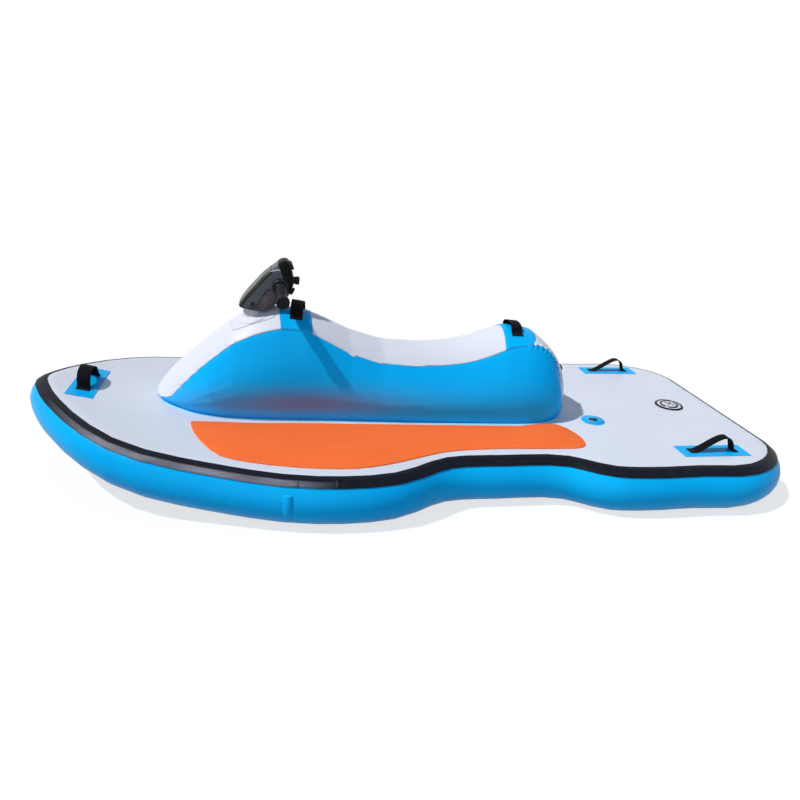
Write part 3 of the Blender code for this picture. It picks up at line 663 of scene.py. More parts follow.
@dataclass(frozen=True)
class BladderSideFabric(WeldedFabric):
    """Side fabric of the bladder, with a painted reflection of the orange foam pads low down on its flanks."""

    reflection_centre: Tuple[float, float] = (-0.49, 0.286)
    reflection_reach: Tuple[float, float] = (0.40, 0.064)
    reflection_fall: float = -1.4
    reflection_strength: float = 0.56
    low_reflection_ends: Tuple[float, float] = (0.24, 0.42)
    low_reflection_strength: float = 0.06

    def shade(self, graph: FinishGraph) -> Value:
        """A painted reflection of the pads: a soft oval on both flanks, and a fainter tint all along the low
        flanks.

        Args:
            graph: the graph that it is built in.

        Returns:
            The share of painted reflection to add.
        """
        across, _, up = graph.axes()
        long_way = (across - self.reflection_centre[0]) / self.reflection_reach[0]
        tall_way = (up - self.reflection_centre[1]) / self.reflection_reach[1]
        away = long_way * long_way + tall_way * tall_way
        low = 1.0 - up.ramp(*self.low_reflection_ends)
        return (away * self.reflection_fall).exponential() * self.reflection_strength + low * self.low_reflection_strength


@dataclass(frozen=True)
class FlangeFabric(WeldedFabric):
    """The welded strip round the bladder's foot: a blue lifted paler as painted light where the bladder's bulge
    shades it, a paler rim that is partly a rim line and partly painted light, and a pale stretch under the
    nose.
    """

    rim: Colour = (0.42, 0.76, 0.98)
    nose: Colour = (0.61, 0.64, 0.72)
    nose_ends: Tuple[float, float] = (-1.060, -1.035)
    rim_band: Tuple[float, float] = (0.35, 0.75)

    def build(self, graph: FinishGraph) -> bpy.types.Material:
        """The paler rim, partly painted light, follows how far out each vertex lies, kept on the flange's
        vertices.

        Args:
            graph: an empty graph with the finish's name.

        Returns:
            The material.
        """
        across, _, _ = graph.axes()
        # The outer band is paled: partly a rim line on the strip, partly painted light on the flange's outer
        # edge.
        out = graph.attribute("rim_share").ramp(*self.rim_band)
        edged = graph.mix(out, self.tone(graph), self.rim)
        colour = graph.mix(1.0 - across.ramp(*self.nose_ends), edged, self.nose)
        fine = graph.noise(160.0, 4.0, 0.6)
        return graph.dress(base_color=colour, roughness=fine * 0.1 + self.roughness,
                           specular_ior_level=self.gloss, normal=graph.bump(fine, 0.0002, 0.5))


# The purple tint of the bladder blue is the colour of a painted reflection of the orange pads; its dust share
# is tiny.
BLADDER_BLUE = BladderSideFabric("bladder_blue_fabric", Slot.BLUE_FABRIC, colour=(0.001, 0.46, 0.95),
                                 deep=(0.001, 0.42, 0.90), dust=(0.25, 0.100, 0.200), dust_share=0.01,
                                 roughness=0.34, gloss=0.06, coat=0.0)
# The flange's blue is lifted well above the hull's: painted light that makes up for the shade of the bladder's
# bulge.
FLANGE_BLUE = FlangeFabric("flange_blue_fabric", Slot.BLUE_FABRIC, colour=(0.010, 0.70, 1.0),
                           deep=(0.010, 0.66, 0.98), gloss=0.08)


# Mesh work


def merged_copy(node: str) -> bmesh.types.BMesh:
    """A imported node's mesh as one connected shell.

    Args:
        node: the node's name.

    Returns:
        A new bmesh in the craft's frame.
    """
    bm = bmesh.new()
    bm.from_mesh(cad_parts[node].data)
    bmesh.ops.remove_doubles(bm, verts=bm.verts, dist=WELD_DISTANCE)
    bmesh.ops.dissolve_degenerate(bm, dist=SLIVER, edges=bm.edges)
    return bm


def flat_outline(points: Profile, depth: float) -> bmesh.types.BMesh:
    """A flat face through the points, given depth upwards from z = 0.

    Args:
        points: the outline, anticlockwise, in metres.
        depth: how thick it becomes.

    Returns:
        A closed prism.
    """
    bm = bmesh.new()
    face = bm.faces.new([bm.verts.new((x, y, 0.0)) for x, y in points])
    grown = bmesh.ops.extrude_face_region(bm, geom=[face])
    raised = [g for g in grown["geom"] if isinstance(g, bmesh.types.BMVert)]
    bmesh.ops.translate(bm, verts=raised, vec=(0, 0, depth))
    bmesh.ops.recalc_face_normals(bm, faces=bm.faces)
    return bm


def turned(profile: Profile, sides: int, start: float = 0.0, sweep: float = 360.0) -> bmesh.types.BMesh:
    """A profile of (radius, height) points spun about Z.

    Args:
        profile: the half section, from one end to the other.
        sides: steps round.
        start: where the sweep starts, in degrees.
        sweep: how far it goes, in degrees; a part turn is closed at both ends.

    Returns:
        A closed shell.
    """
    bm = bmesh.new()
    whole = sweep >= 360.0
    verts = [bm.verts.new((radius, 0.0, height)) for radius, height in profile]
    geom: List[object] = verts + [bm.edges.new(pair) for pair in zip(verts, verts[1:])]
    set_in_place(bm, Matrix.Rotation(math.radians(start), 3, "Z"))
    if not whole:
        geom = geom + [bm.faces.new(verts)]
    bmesh.ops.spin(bm, geom=geom, cent=(0, 0, 0), axis=(0, 0, 1), dvec=(0, 0, 0), angle=math.radians(sweep),
                   steps=sides, use_merge=whole, use_normal_flip=False, use_duplicate=False)
    bmesh.ops.remove_doubles(bm, verts=bm.verts, dist=TOUCHING)
    bmesh.ops.holes_fill(bm, edges=[e for e in bm.edges if e.is_boundary], sides=0)
    bmesh.ops.recalc_face_normals(bm, faces=bm.faces)
    return bm


def set_in_place(bm: bmesh.types.BMesh, turn: Matrix, place: Sequence[float] = (0.0, 0.0, 0.0)) -> None:
    """Turns a mesh about its own origin, then moves it.

    Args:
        bm: the mesh.
        turn: the turn.
        place: where its origin goes.
    """
    bmesh.ops.rotate(bm, verts=bm.verts, cent=(0, 0, 0), matrix=turn)
    bmesh.ops.translate(bm, verts=bm.verts, vec=place)


def slice_off(bm: bmesh.types.BMesh, place: Sequence[float], away: Sequence[float]) -> None:
    """Takes off what lies beyond a plane, and leaves the cut open.

    Args:
        bm: the mesh.
        place: a point of the plane.
        away: the way out to the side that goes.
    """
    geom = list(bm.verts) + list(bm.edges) + list(bm.faces)
    bmesh.ops.bisect_plane(bm, geom=geom, plane_co=place, plane_no=away, clear_outer=True)


def face_up(bm: bmesh.types.BMesh) -> None:
    """Turns an open sheet's faces so that they look upwards.

    Args:
        bm: the sheet.
    """
    bmesh.ops.recalc_face_normals(bm, faces=bm.faces)
    if sum(f.normal.z for f in bm.faces) < 0:
        bmesh.ops.reverse_faces(bm, faces=bm.faces)


def grow_row(bm: bmesh.types.BMesh, row: List[bmesh.types.BMVert],
             closed: bool = False) -> List[bmesh.types.BMVert]:
    """Extrudes a row of vertices into a second row at the same places.

    Args:
        bm: the mesh.
        row: the row, with an edge between each vertex and the next.
        closed: whether its last vertex is joined to its first.

    Returns:
        The second row, in the first one's order.
    """
    pairs = list(zip(row, row[1:]))
    if closed:
        pairs.insert(0, (row[-1], row[0]))
    grown = bmesh.ops.extrude_edge_only(bm, edges=[bm.edges.get(pair) for pair in pairs])["geom"]
    fresh = {g for g in grown if isinstance(g, bmesh.types.BMVert)}
    return [next(v for v in (e.other_vert(old) for e in old.link_edges) if v in fresh) for old in row]


def sharp_edges(bm: bmesh.types.BMesh, angle: float) -> List[bmesh.types.BMEdge]:
    """The edges whose two faces turn by more than an angle, in degrees."""
    limit = math.radians(angle)
    return [e for e in bm.edges if len(e.link_faces) == 2 and e.calc_face_angle(0.0) > limit]


def round_edges(bm: bmesh.types.BMesh, edges: List[bmesh.types.BMEdge], width: float, segments: int) -> None:
    """Bevels some edges round.

    Args:
        bm: the mesh.
        edges: the edges.
        width: the bevel's width.
        segments: its steps.
    """
    bmesh.ops.bevel(bm, geom=edges, offset=width, offset_type="OFFSET", affect="EDGES", segments=segments,
                    profile=0.5, material=-1, clamp_overlap=True)


def bevel_sharp(bm: bmesh.types.BMesh, width: float, segments: int = 2, angle: float = 40.0) -> None:
    """Bevels every edge that is sharper than an angle, in degrees."""
    round_edges(bm, sharp_edges(bm, angle), width, segments)


def join_meshes(parts: Iterable[bmesh.types.BMesh]) -> bmesh.types.BMesh:
    """Several meshes as one.

    Args:
        parts: the meshes, which are freed.

    Returns:
        One mesh that holds them all.
    """
    whole = bmesh.new()
    for part in parts:
        mesh = bpy.data.meshes.new("join")
        part.to_mesh(mesh)
        part.free()
        whole.from_mesh(mesh)
        bpy.data.meshes.remove(mesh)
    return whole


def stand_up(bm: bmesh.types.BMesh, name: str) -> bpy.types.Object:
    """Puts a mesh into the scene as an object.

    Args:
        bm: the mesh, which is freed.
        name: the object's name.

    Returns:
        The object.
    """
    mesh = bpy.data.meshes.new(name)
    bm.to_mesh(mesh)
    bm.free()
    obj = bpy.data.objects.new(name, mesh)
    bpy.context.scene.collection.objects.link(obj)
    return obj


def publish(bm: bmesh.types.BMesh, name: str, finish: Finish, body: Body = Body.CRAFT,
            stands_for: Sequence[str] = (), shading: Shading = Shading.FITTING) -> bpy.types.Object:
    """Makes a finished piece of a mesh.

    Args:
        bm: the mesh, in the craft's frame, which is freed.
        name: the piece's name.
        finish: what it wears.
        body: what it moves with.
        stands_for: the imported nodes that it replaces.
        shading: how sharply its faces may meet and still shade as one.

    Returns:
        The piece.
    """
    obj = stand_up(bm, name)
    mesh = obj.data
    mesh.shade_smooth()
    mesh.set_sharp_from_angle(angle=math.radians(shading.value))
    mesh.materials.clear()
    mesh.materials.append(finish.material())
    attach(obj, body.value)
    if stands_for:
        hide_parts(*stands_for)
    LOG.info("%s: %d faces, for %s", name, len(mesh.polygons), ", ".join(stands_for) or "itself")
    return obj


def dress_node(node: str, finish: Finish, bm: Optional[bmesh.types.BMesh] = None, body: Body = Body.CRAFT,
               shading: Shading = Shading.FITTING) -> bpy.types.Object:
    """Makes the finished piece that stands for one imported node.

    Args:
        node: the node's name.
        finish: what it wears.
        bm: its mesh, which is freed; the node's own mesh unless it is given.
        body: what it moves with.
        shading: how sharply its faces may meet and still shade as one.

    Returns:
        The piece.
    """
    return publish(bm or merged_copy(node), "dressed_" + node, finish, body, (node,), shading)


def thicken(obj: bpy.types.Object, thickness: float, outward: float = 1.0) -> None:
    """Gives an open skin its thickness, outwards by default.

    Args:
        obj: the piece.
        thickness: the wall's thickness.
        outward: 1 outwards, -1 inwards.
    """
    wall = obj.modifiers.new("thickness", "SOLIDIFY")
    wall.thickness = thickness
    wall.offset = outward


def baked(obj: bpy.types.Object) -> bpy.types.Mesh:
    """The object's mesh with its modifiers applied."""
    evaluated = obj.evaluated_get(bpy.context.evaluated_depsgraph_get())
    return bpy.data.meshes.new_from_object(evaluated)


# Board


@dataclass
class BowRise:
    """How far the board's nose lifts, by place along the craft."""

    start_x: float = -0.0071
    cubic: float = 0.0488
    straight_x: float = -1.20

    def at(self, x: float) -> float:
        """The lift at a place along the craft.

        Args:
            x: the place.

        Returns:
            The lift.
        """
        bend = max(0.0, self.start_x - max(x, self.straight_x))
        lift = self.cubic * bend ** 3
        if x < self.straight_x:
            lift += 3 * self.cubic * bend ** 2 * (self.straight_x - x)
        return lift


RISE = BowRise()


@dataclass
class Board:
    """The drop-stitch board: side wall, deck and bottom sheets, rub strake, and the joints in them."""

    rail_radius: float = 0.0982
    rail_centre: float = 0.100
    wall_joints: Sequence[Tuple[float, float]] = ((-0.566, -0.530),)
    strake_foot: float = 44.0
    strake_laps: Sequence[Tuple[float, float, float, float]] = ((-0.547, -0.510, 31.0, 43.8),
                                                                (-0.386, -0.364, 18.5, 43.8))
    joint_girths: Tuple[float, float] = (62.0, 140.0)
    tape_thickness: float = 0.0003

    def girth(self, spot: Vector) -> float:
        """How far round the rail a point lies, in degrees from the top."""
        share = (spot.z - RISE.at(spot.x) - self.rail_centre) / self.rail_radius
        return math.degrees(math.acos(max(-1.0, min(1.0, share))))

    def level(self, girth: float) -> float:
        """The height of a line round the rail, where the bow doesn't rise."""
        return self.rail_centre + self.rail_radius * math.cos(math.radians(girth))

    def mark_girth(self, bm: bmesh.types.BMesh) -> None:
        """Keeps the girth on every vertex, for finishes that follow the rail.

        Args:
            bm: a mesh on the rail.
        """
        layer = bm.verts.layers.float.new("girth")
        for vert in bm.verts:
            vert[layer] = self.girth(vert.co)

    def build(self) -> None:
        """Builds every piece of the board."""
        sheets = {"hull_body": HULL_BLUE, "bottom_sheet": HULL_BLUE, "deck_sheet": DECK_WHITE}
        for node, finish in sheets.items():
            dress_node(node, finish, shading=Shading.SHEET)
        strake = merged_copy("rub_strake")
        self.trim_foot(strake)
        self.mark_girth(strake)
        dress_node("rub_strake", STRAKE_RUBBER, strake, shading=Shading.ROUNDED)
        for number, ends in enumerate(self.wall_joints, 1):
            self.band("hull_body", f"wall_joint_tape_{number}", ends, self.joint_girths, HULL_BLUE)
        for number, (front, back, top, foot) in enumerate(self.strake_laps, 1):
            self.band("rub_strake", f"strake_lap_{number}", (front, back), (top, foot), STRAKE_RUBBER)

    def trim_foot(self, bm: bmesh.types.BMesh) -> None:
        """Trims the strake's lower edge level with a line round the rail, and closes the cut.

        Args:
            bm: the strake's mesh.
        """
        for vert in bm.verts:
            vert.co.z -= RISE.at(vert.co.x)
        slice_off(bm, (0, 0, self.level(self.strake_foot)), (0, 0, -1))
        bmesh.ops.bridge_loops(bm, edges=[e for e in bm.edges if e.is_boundary])
        for vert in bm.verts:
            vert.co.z += RISE.at(vert.co.x)
        bmesh.ops.recalc_face_normals(bm, faces=bm.faces)

    def band(self, node: str, name: str, along: Tuple[float, float], girths: Tuple[float, float],
             finish: Finish) -> None:
        """A thin strip laid over both sides of the rail.

        Args:
            node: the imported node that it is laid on.
            name: the strip's name.
            along: where it starts and ends along the craft.
            girths: where it starts and ends round the rail, in degrees.
            finish: what it wears.
        """
        bm = merged_copy(node)
        lift = RISE.at(sum(along) / 2)
        for x, away in zip(along, (-1, 1)):
            slice_off(bm, (x, 0, 0), (away, 0, 0))
        for girth, up in zip(girths, (1, -1)):
            slice_off(bm, (0, 0, self.level(girth) + lift), (0, 0, up))
        inner = [f for f in bm.faces
                 if f.normal.y * f.calc_center_median().y <= 0.0 or abs(f.normal.x) > SQUARE_ON]
        bmesh.ops.delete(bm, geom=inner, context="FACES")
        self.mark_girth(bm)
        tape = publish(bm, name, finish, shading=Shading.TAPE)
        thicken(tape, self.tape_thickness)


# Bladder


class Cover(Enum):
    """What lies on the bladder's skin, by face."""

    SIDE = 0
    TOP = 1
    PATCH = 2


COVER_NODES = {Cover.PATCH: ("hump_front_patch", "hump_rear_patch"), Cover.TOP: ("hump_top_panel",)}


@dataclass(frozen=True)
class Tucks:
    """The small tucks along one stretch of the bladder's seams."""

    start: float
    end: float
    pitch: float
    depth: float
    reach: float
    bulge: float = 0.0
    run_in: float = 0.05
    drift: float = 0.6
    drift_rate: float = 0.3
    sharpness: float = 2.2
    size_rate: float = 0.6
    size_mean: float = 0.70
    size_swing: float = 0.8
    size_least: float = 0.15

    def holds(self, x: float, margin: float = 0.0) -> bool:
        """Whether a place along the craft lies in the stretch."""
        return self.start - margin < x < self.end + margin

    def push(self, x: float, run: float, off: float) -> float:
        """How far a point near the seam moves out of the skin.

        Args:
            x: the place along the craft.
            run: the length along the seam.
            off: the distance from the seam, in tuck reaches.

        Returns:
            The move outwards.
        """
        ease = min(1.0, (x - self.start) / self.run_in, (self.end - x) / self.run_in)
        notch, size = self.notch(run)
        fall = math.exp(-off ** 2)
        return ease * (self.bulge * (1.0 - notch) * fall - self.depth * size * notch * fall)

    def notch(self, run: float) -> Tuple[float, float]:
        """How far a place along the seam is into a tuck, from 0 to 1, and that tuck's size.

        Args:
            run: the length along the seam.

        Returns:
            The share and the size.
        """
        drift = noise.noise(Vector((run * self.drift_rate / self.pitch, self.pitch * 100.0, 0.0)))
        wave = abs(math.sin(math.pi * (run / self.pitch + self.drift * drift)))
        swing = noise.noise(Vector((run * self.size_rate / self.pitch, 3.0, 1.0)))
        size = max(self.size_least, self.size_mean + self.size_swing * swing)
        return (1.0 - wave) ** self.sharpness, size


@dataclass
class Bladder:
    """The saddle-shaped air bladder with its top panel, handle patches, tucked seams and base flange."""

    smoothing: int = 3
    seam_band: float = 0.024
    seam_margin: float = 0.01
    seam_crease: float = 0.35
    join_angles: Tuple[float, float] = (50.0, 75.0)
    foot_top: float = 0.34
    foot_angle: float = 60.0
    cut_start: float = -1.56
    cut_step: float = 0.08
    straight_on: float = -0.99
    cover_reach: Sequence[Tuple[Cover, float]] = ((Cover.PATCH, 0.0026), (Cover.TOP, 0.0008))
    fabric: float = 0.0010
    patch: float = 0.0010
    gap: float = 0.0003
    tucks: Sequence[Tucks] = (Tucks(-1.06, -0.70, 0.050, 0.0065, 0.018),
                              Tucks(0.44, 0.75, 0.028, 0.0105, 0.012, 0.0040))
    tuck_limit: float = 0.05
    seam_line: float = 1e-4
    panel_reach: float = 0.010
    tail_start: float = 0.3
    tail_top: float = 0.6
    tail_lean: float = 0.2
    flange_reach: float = 0.012
    flange_step: float = 0.010
    above: float = 1.2
    tree: Optional[BVHTree] = field(default=None, repr=False)

    def build(self) -> None:
        """Builds the skin, the layers on it, and the flange."""
        skin = self.smooth_skin()
        self.refine_seams(skin)
        self.tuck_seams(skin)
        self.tree = BVHTree.FromBMesh(skin)
        top = self.layer(skin, (Cover.TOP, Cover.PATCH), self.gap)
        lifted = self.layer(skin, (Cover.PATCH,), 2 * self.gap + self.fabric)
        thicken(publish(lifted, "dressed_hump_patches", PATCH_BLUE, stands_for=COVER_NODES[Cover.PATCH],
                        shading=Shading.SKIN), self.patch)
        side = dress_node("hump_bladder", BLADDER_BLUE, skin, shading=Shading.ROUNDED)
        thicken(dress_node("hump_top_panel", TOP_WHITE, top, shading=Shading.SKIN), self.fabric)
        flange = merged_copy("hump_base_flange")
        long_edges = [e for e in flange.edges if e.calc_length() > self.flange_step]
        bmesh.ops.subdivide_edges(flange, edges=long_edges, cuts=2, use_grid_fill=True)
        self.mark_rim(flange)
        dress_node("hump_base_flange", FLANGE_BLUE, flange, shading=Shading.FLANGE)

    def mark_rim(self, flange: bmesh.types.BMesh) -> None:
        """Keeps on each of the flange's vertices how far out from the bladder it lies, from 0 to 1.

        Args:
            flange: the flange's mesh.
        """
        layer = flange.verts.layers.float.new("rim_share")
        for vert in flange.verts:
            away = self.tree.find_nearest(vert.co)[3]
            vert[layer] = min(1.0, away / self.flange_reach)

    def covered(self, spot: Vector, trees: Dict[Cover, List[BVHTree]]) -> Cover:
        """Which layer lies over a point of the bladder.

        Args:
            spot: the point.
            trees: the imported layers' surfaces.

        Returns:
            The topmost layer there.
        """
        for cover, reach in self.cover_reach:
            if any(tree.find_nearest(spot, reach)[0] is not None for tree in trees[cover]):
                return cover
        return Cover.SIDE

    @staticmethod
    def on_seam(edge: bmesh.types.BMEdge) -> bool:
        """Whether an edge lies between the blue side and what covers it."""
        return len(edge.link_faces) == 2 and len({min(f.material_index, 1) for f in edge.link_faces}) == 2

    def smooth_skin(self) -> bmesh.types.BMesh:
        """The bladder's own grid, its faces marked by what covers them, then smoothed.

        Returns:
            The smoothed skin.
        """
        bm = merged_copy("hump_bladder")
        self.weld_cuts(bm)
        trees = {}
        for cover, nodes in COVER_NODES.items():
            trees[cover] = [BVHTree.FromBMesh(merged_copy(node)) for node in nodes]
        for face in bm.faces:
            upper = face.normal.z > -SQUARE_ON
            face.material_index = self.covered(face.calc_center_median(), trees).value if upper else 0
        bend, slant = (math.radians(angle) for angle in self.join_angles)
        bmesh.ops.join_triangles(bm, faces=bm.faces, cmp_materials=True, angle_face_threshold=bend,
                                 angle_shape_threshold=slant)
        crease = bm.edges.layers.float.new("crease_edge")
        for edge in bm.edges:
            if self.on_seam(edge):
                edge[crease] = self.seam_crease
        for edge in sharp_edges(bm, self.foot_angle):
            if min(v.co.z for v in edge.verts) < self.foot_top:
                edge[crease] = 1.0
        draft = stand_up(bm, "skin_draft")
        for _ in Cover:
            draft.data.materials.append(None)
        smooth = draft.modifiers.new("smooth", "SUBSURF")
        smooth.levels = self.smoothing
        smooth.render_levels = self.smoothing
        skin = bmesh.new()
        skin.from_mesh(baked(draft))
        bpy.data.objects.remove(draft)
        return skin

    def weld_cuts(self, bm: bmesh.types.BMesh) -> None:
        """Takes out the cuts that follow the bow rise, so that only the bladder's own grid is left.

        Args:
            bm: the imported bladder's mesh.
        """
        cuts = {v for v in bm.verts
                if abs(math.remainder(v.co.x - self.cut_start, self.cut_step)) < WELD_DISTANCE}
        targets = {}
        for vert in cuts:
            ends = [e.other_vert(vert) for e in vert.link_edges]
            ends = [v for v in ends if v not in cuts]
            pairs = [((a.co - vert.co).normalized().dot((b.co - vert.co).normalized()), a, b)
                     for number, a in enumerate(ends) for b in ends[number + 1:]]
            turn, a, b = min(pairs, key=lambda pair: pair[0], default=(1.0, None, None))
            if turn < self.straight_on:
                targets[vert] = min((a, b), key=lambda v, here=vert.co: (v.co - here).length)
        bmesh.ops.weld_verts(bm, targetmap=targets)
        LOG.info("bladder grid: %d cut points taken out, %d points left", len(targets), len(bm.verts))

    def seam_order(self, spot: Vector) -> float:
        """Where a point comes along the seam, which turns down as well as back round the tail."""
        return spot.x + self.tail_lean * (self.tail_top - spot.z) * (spot.x > self.tail_start)

    def seam_runs(self, skin: bmesh.types.BMesh) -> Tuple[KDTree, List[float]]:
        """The seam's points and how far along the seam each lies.

        Args:
            skin: the smoothed skin.

        Returns:
            A search tree of the points, and the run of each.
        """
        spots = [v.co.copy() for edge in skin.edges if self.on_seam(edge) for v in edge.verts]
        tree = KDTree(len(spots))
        runs: List[float] = []
        for side in Side:
            line = sorted((s for s in spots if s.y * side.value > 0.0), key=self.seam_order)
            run = 0.0
            for number, spot in enumerate(line):
                run += (spot - line[number - 1]).length if number else 0.0
                tree.insert(spot, len(runs))
                runs.append(run)
        tree.balance()
        return tree, runs

    def refine_seams(self, skin: bmesh.types.BMesh) -> None:
        """Splits the edges along the tucked stretches of both seams, so that they can carry the tucks.

        Args:
            skin: the smoothed skin.
        """
        tree, _ = self.seam_runs(skin)
        near = set()
        for vert in skin.verts:
            tucked = any(tucks.holds(vert.co.x, self.seam_margin) for tucks in self.tucks)
            if tucked and tree.find(vert.co)[2] < self.seam_band:
                near.add(vert)
        edges = [e for e in skin.edges if e.verts[0] in near and e.verts[1] in near]
        bmesh.ops.subdivide_edges(skin, edges=edges, cuts=1, use_grid_fill=True)

    def tuck_seams(self, skin: bmesh.types.BMesh) -> None:
        """Draws small tucks into both seams, over the nose and round the tail.

        Args:
            skin: the smoothed skin.
        """
        tree, runs = self.seam_runs(skin)
        skin.normal_update()
        moves = []
        for vert in skin.verts:
            spot, number, away = tree.find(vert.co)
            if away > self.tuck_limit:
                continue
            in_panel = away > self.seam_line and any(f.material_index for f in vert.link_faces)
            for tucks in self.tucks:
                if tucks.holds(spot.x):
                    reach = self.panel_reach if in_panel else tucks.reach
                    moves.append((vert, vert.normal * tucks.push(spot.x, runs[number], away / reach)))
        for vert, move in moves:
            vert.co += move

    def layer(self, skin: bmesh.types.BMesh, covers: Sequence[Cover], lift: float) -> bmesh.types.BMesh:
        """The part of the skin under some covers, lifted off it.

        Args:
            skin: the whole skin.
            covers: which faces to take.
            lift: how far it is lifted.

        Returns:
            An open sheet.
        """
        sheet = skin.copy()
        kept = {cover.value for cover in covers}
        others = [f for f in sheet.faces if f.material_index not in kept]
        bmesh.ops.delete(sheet, geom=others, context="FACES")
        sheet.normal_update()
        for vert, normal in [(v, v.normal.copy()) for v in sheet.verts]:
            vert.co += normal * lift
        for face in sheet.faces:
            face.material_index = 0
        return sheet

    def over(self, x: float, y: float, lift: float = 0.0) -> Vector:
        """A point off the bladder's top skin, square to it.

        Args:
            x: the place along the craft.
            y: the place across it.
            lift: how far off the skin.

        Returns:
            The point.
        """
        spot, normal, _, _ = self.tree.ray_cast(Vector((x, y, self.above)), Vector((0, 0, -1)))
        return spot + normal * lift


# Foot pads


@dataclass
class FootPads:
    """The two orange foam pads with bevelled rims."""

    rim_width: float = 0.0022
    rim_angle: float = 60.0
    corner: float = 0.014
    corner_angle: float = 28.0

    def build(self) -> None:
        """Builds both pads."""
        for side in Side:
            node = side.label + "_foot_pad"
            bm = merged_copy(node)
            bmesh.ops.dissolve_limit(bm, angle_limit=math.radians(2.0), verts=bm.verts, edges=bm.edges)
            corners = [e for e in sharp_edges(bm, self.corner_angle)
                       if all(abs(f.normal.z) < 0.5 for f in e.link_faces)]
            round_edges(bm, corners, self.corner, 5)
            rim = [e for e in sharp_edges(bm, self.rim_angle)
                   if any(f.normal.z > SQUARE_ON for f in e.link_faces)]
            LOG.info("%s: rim of %d edges", node, len(rim))
            round_edges(bm, rim, self.rim_width, 3)
            bmesh.ops.triangulate(bm, faces=[f for f in bm.faces if len(f.verts) > 4])
            dress_node(node, PAD_FOAM, bm, shading=Shading.SHEET)


# Handles


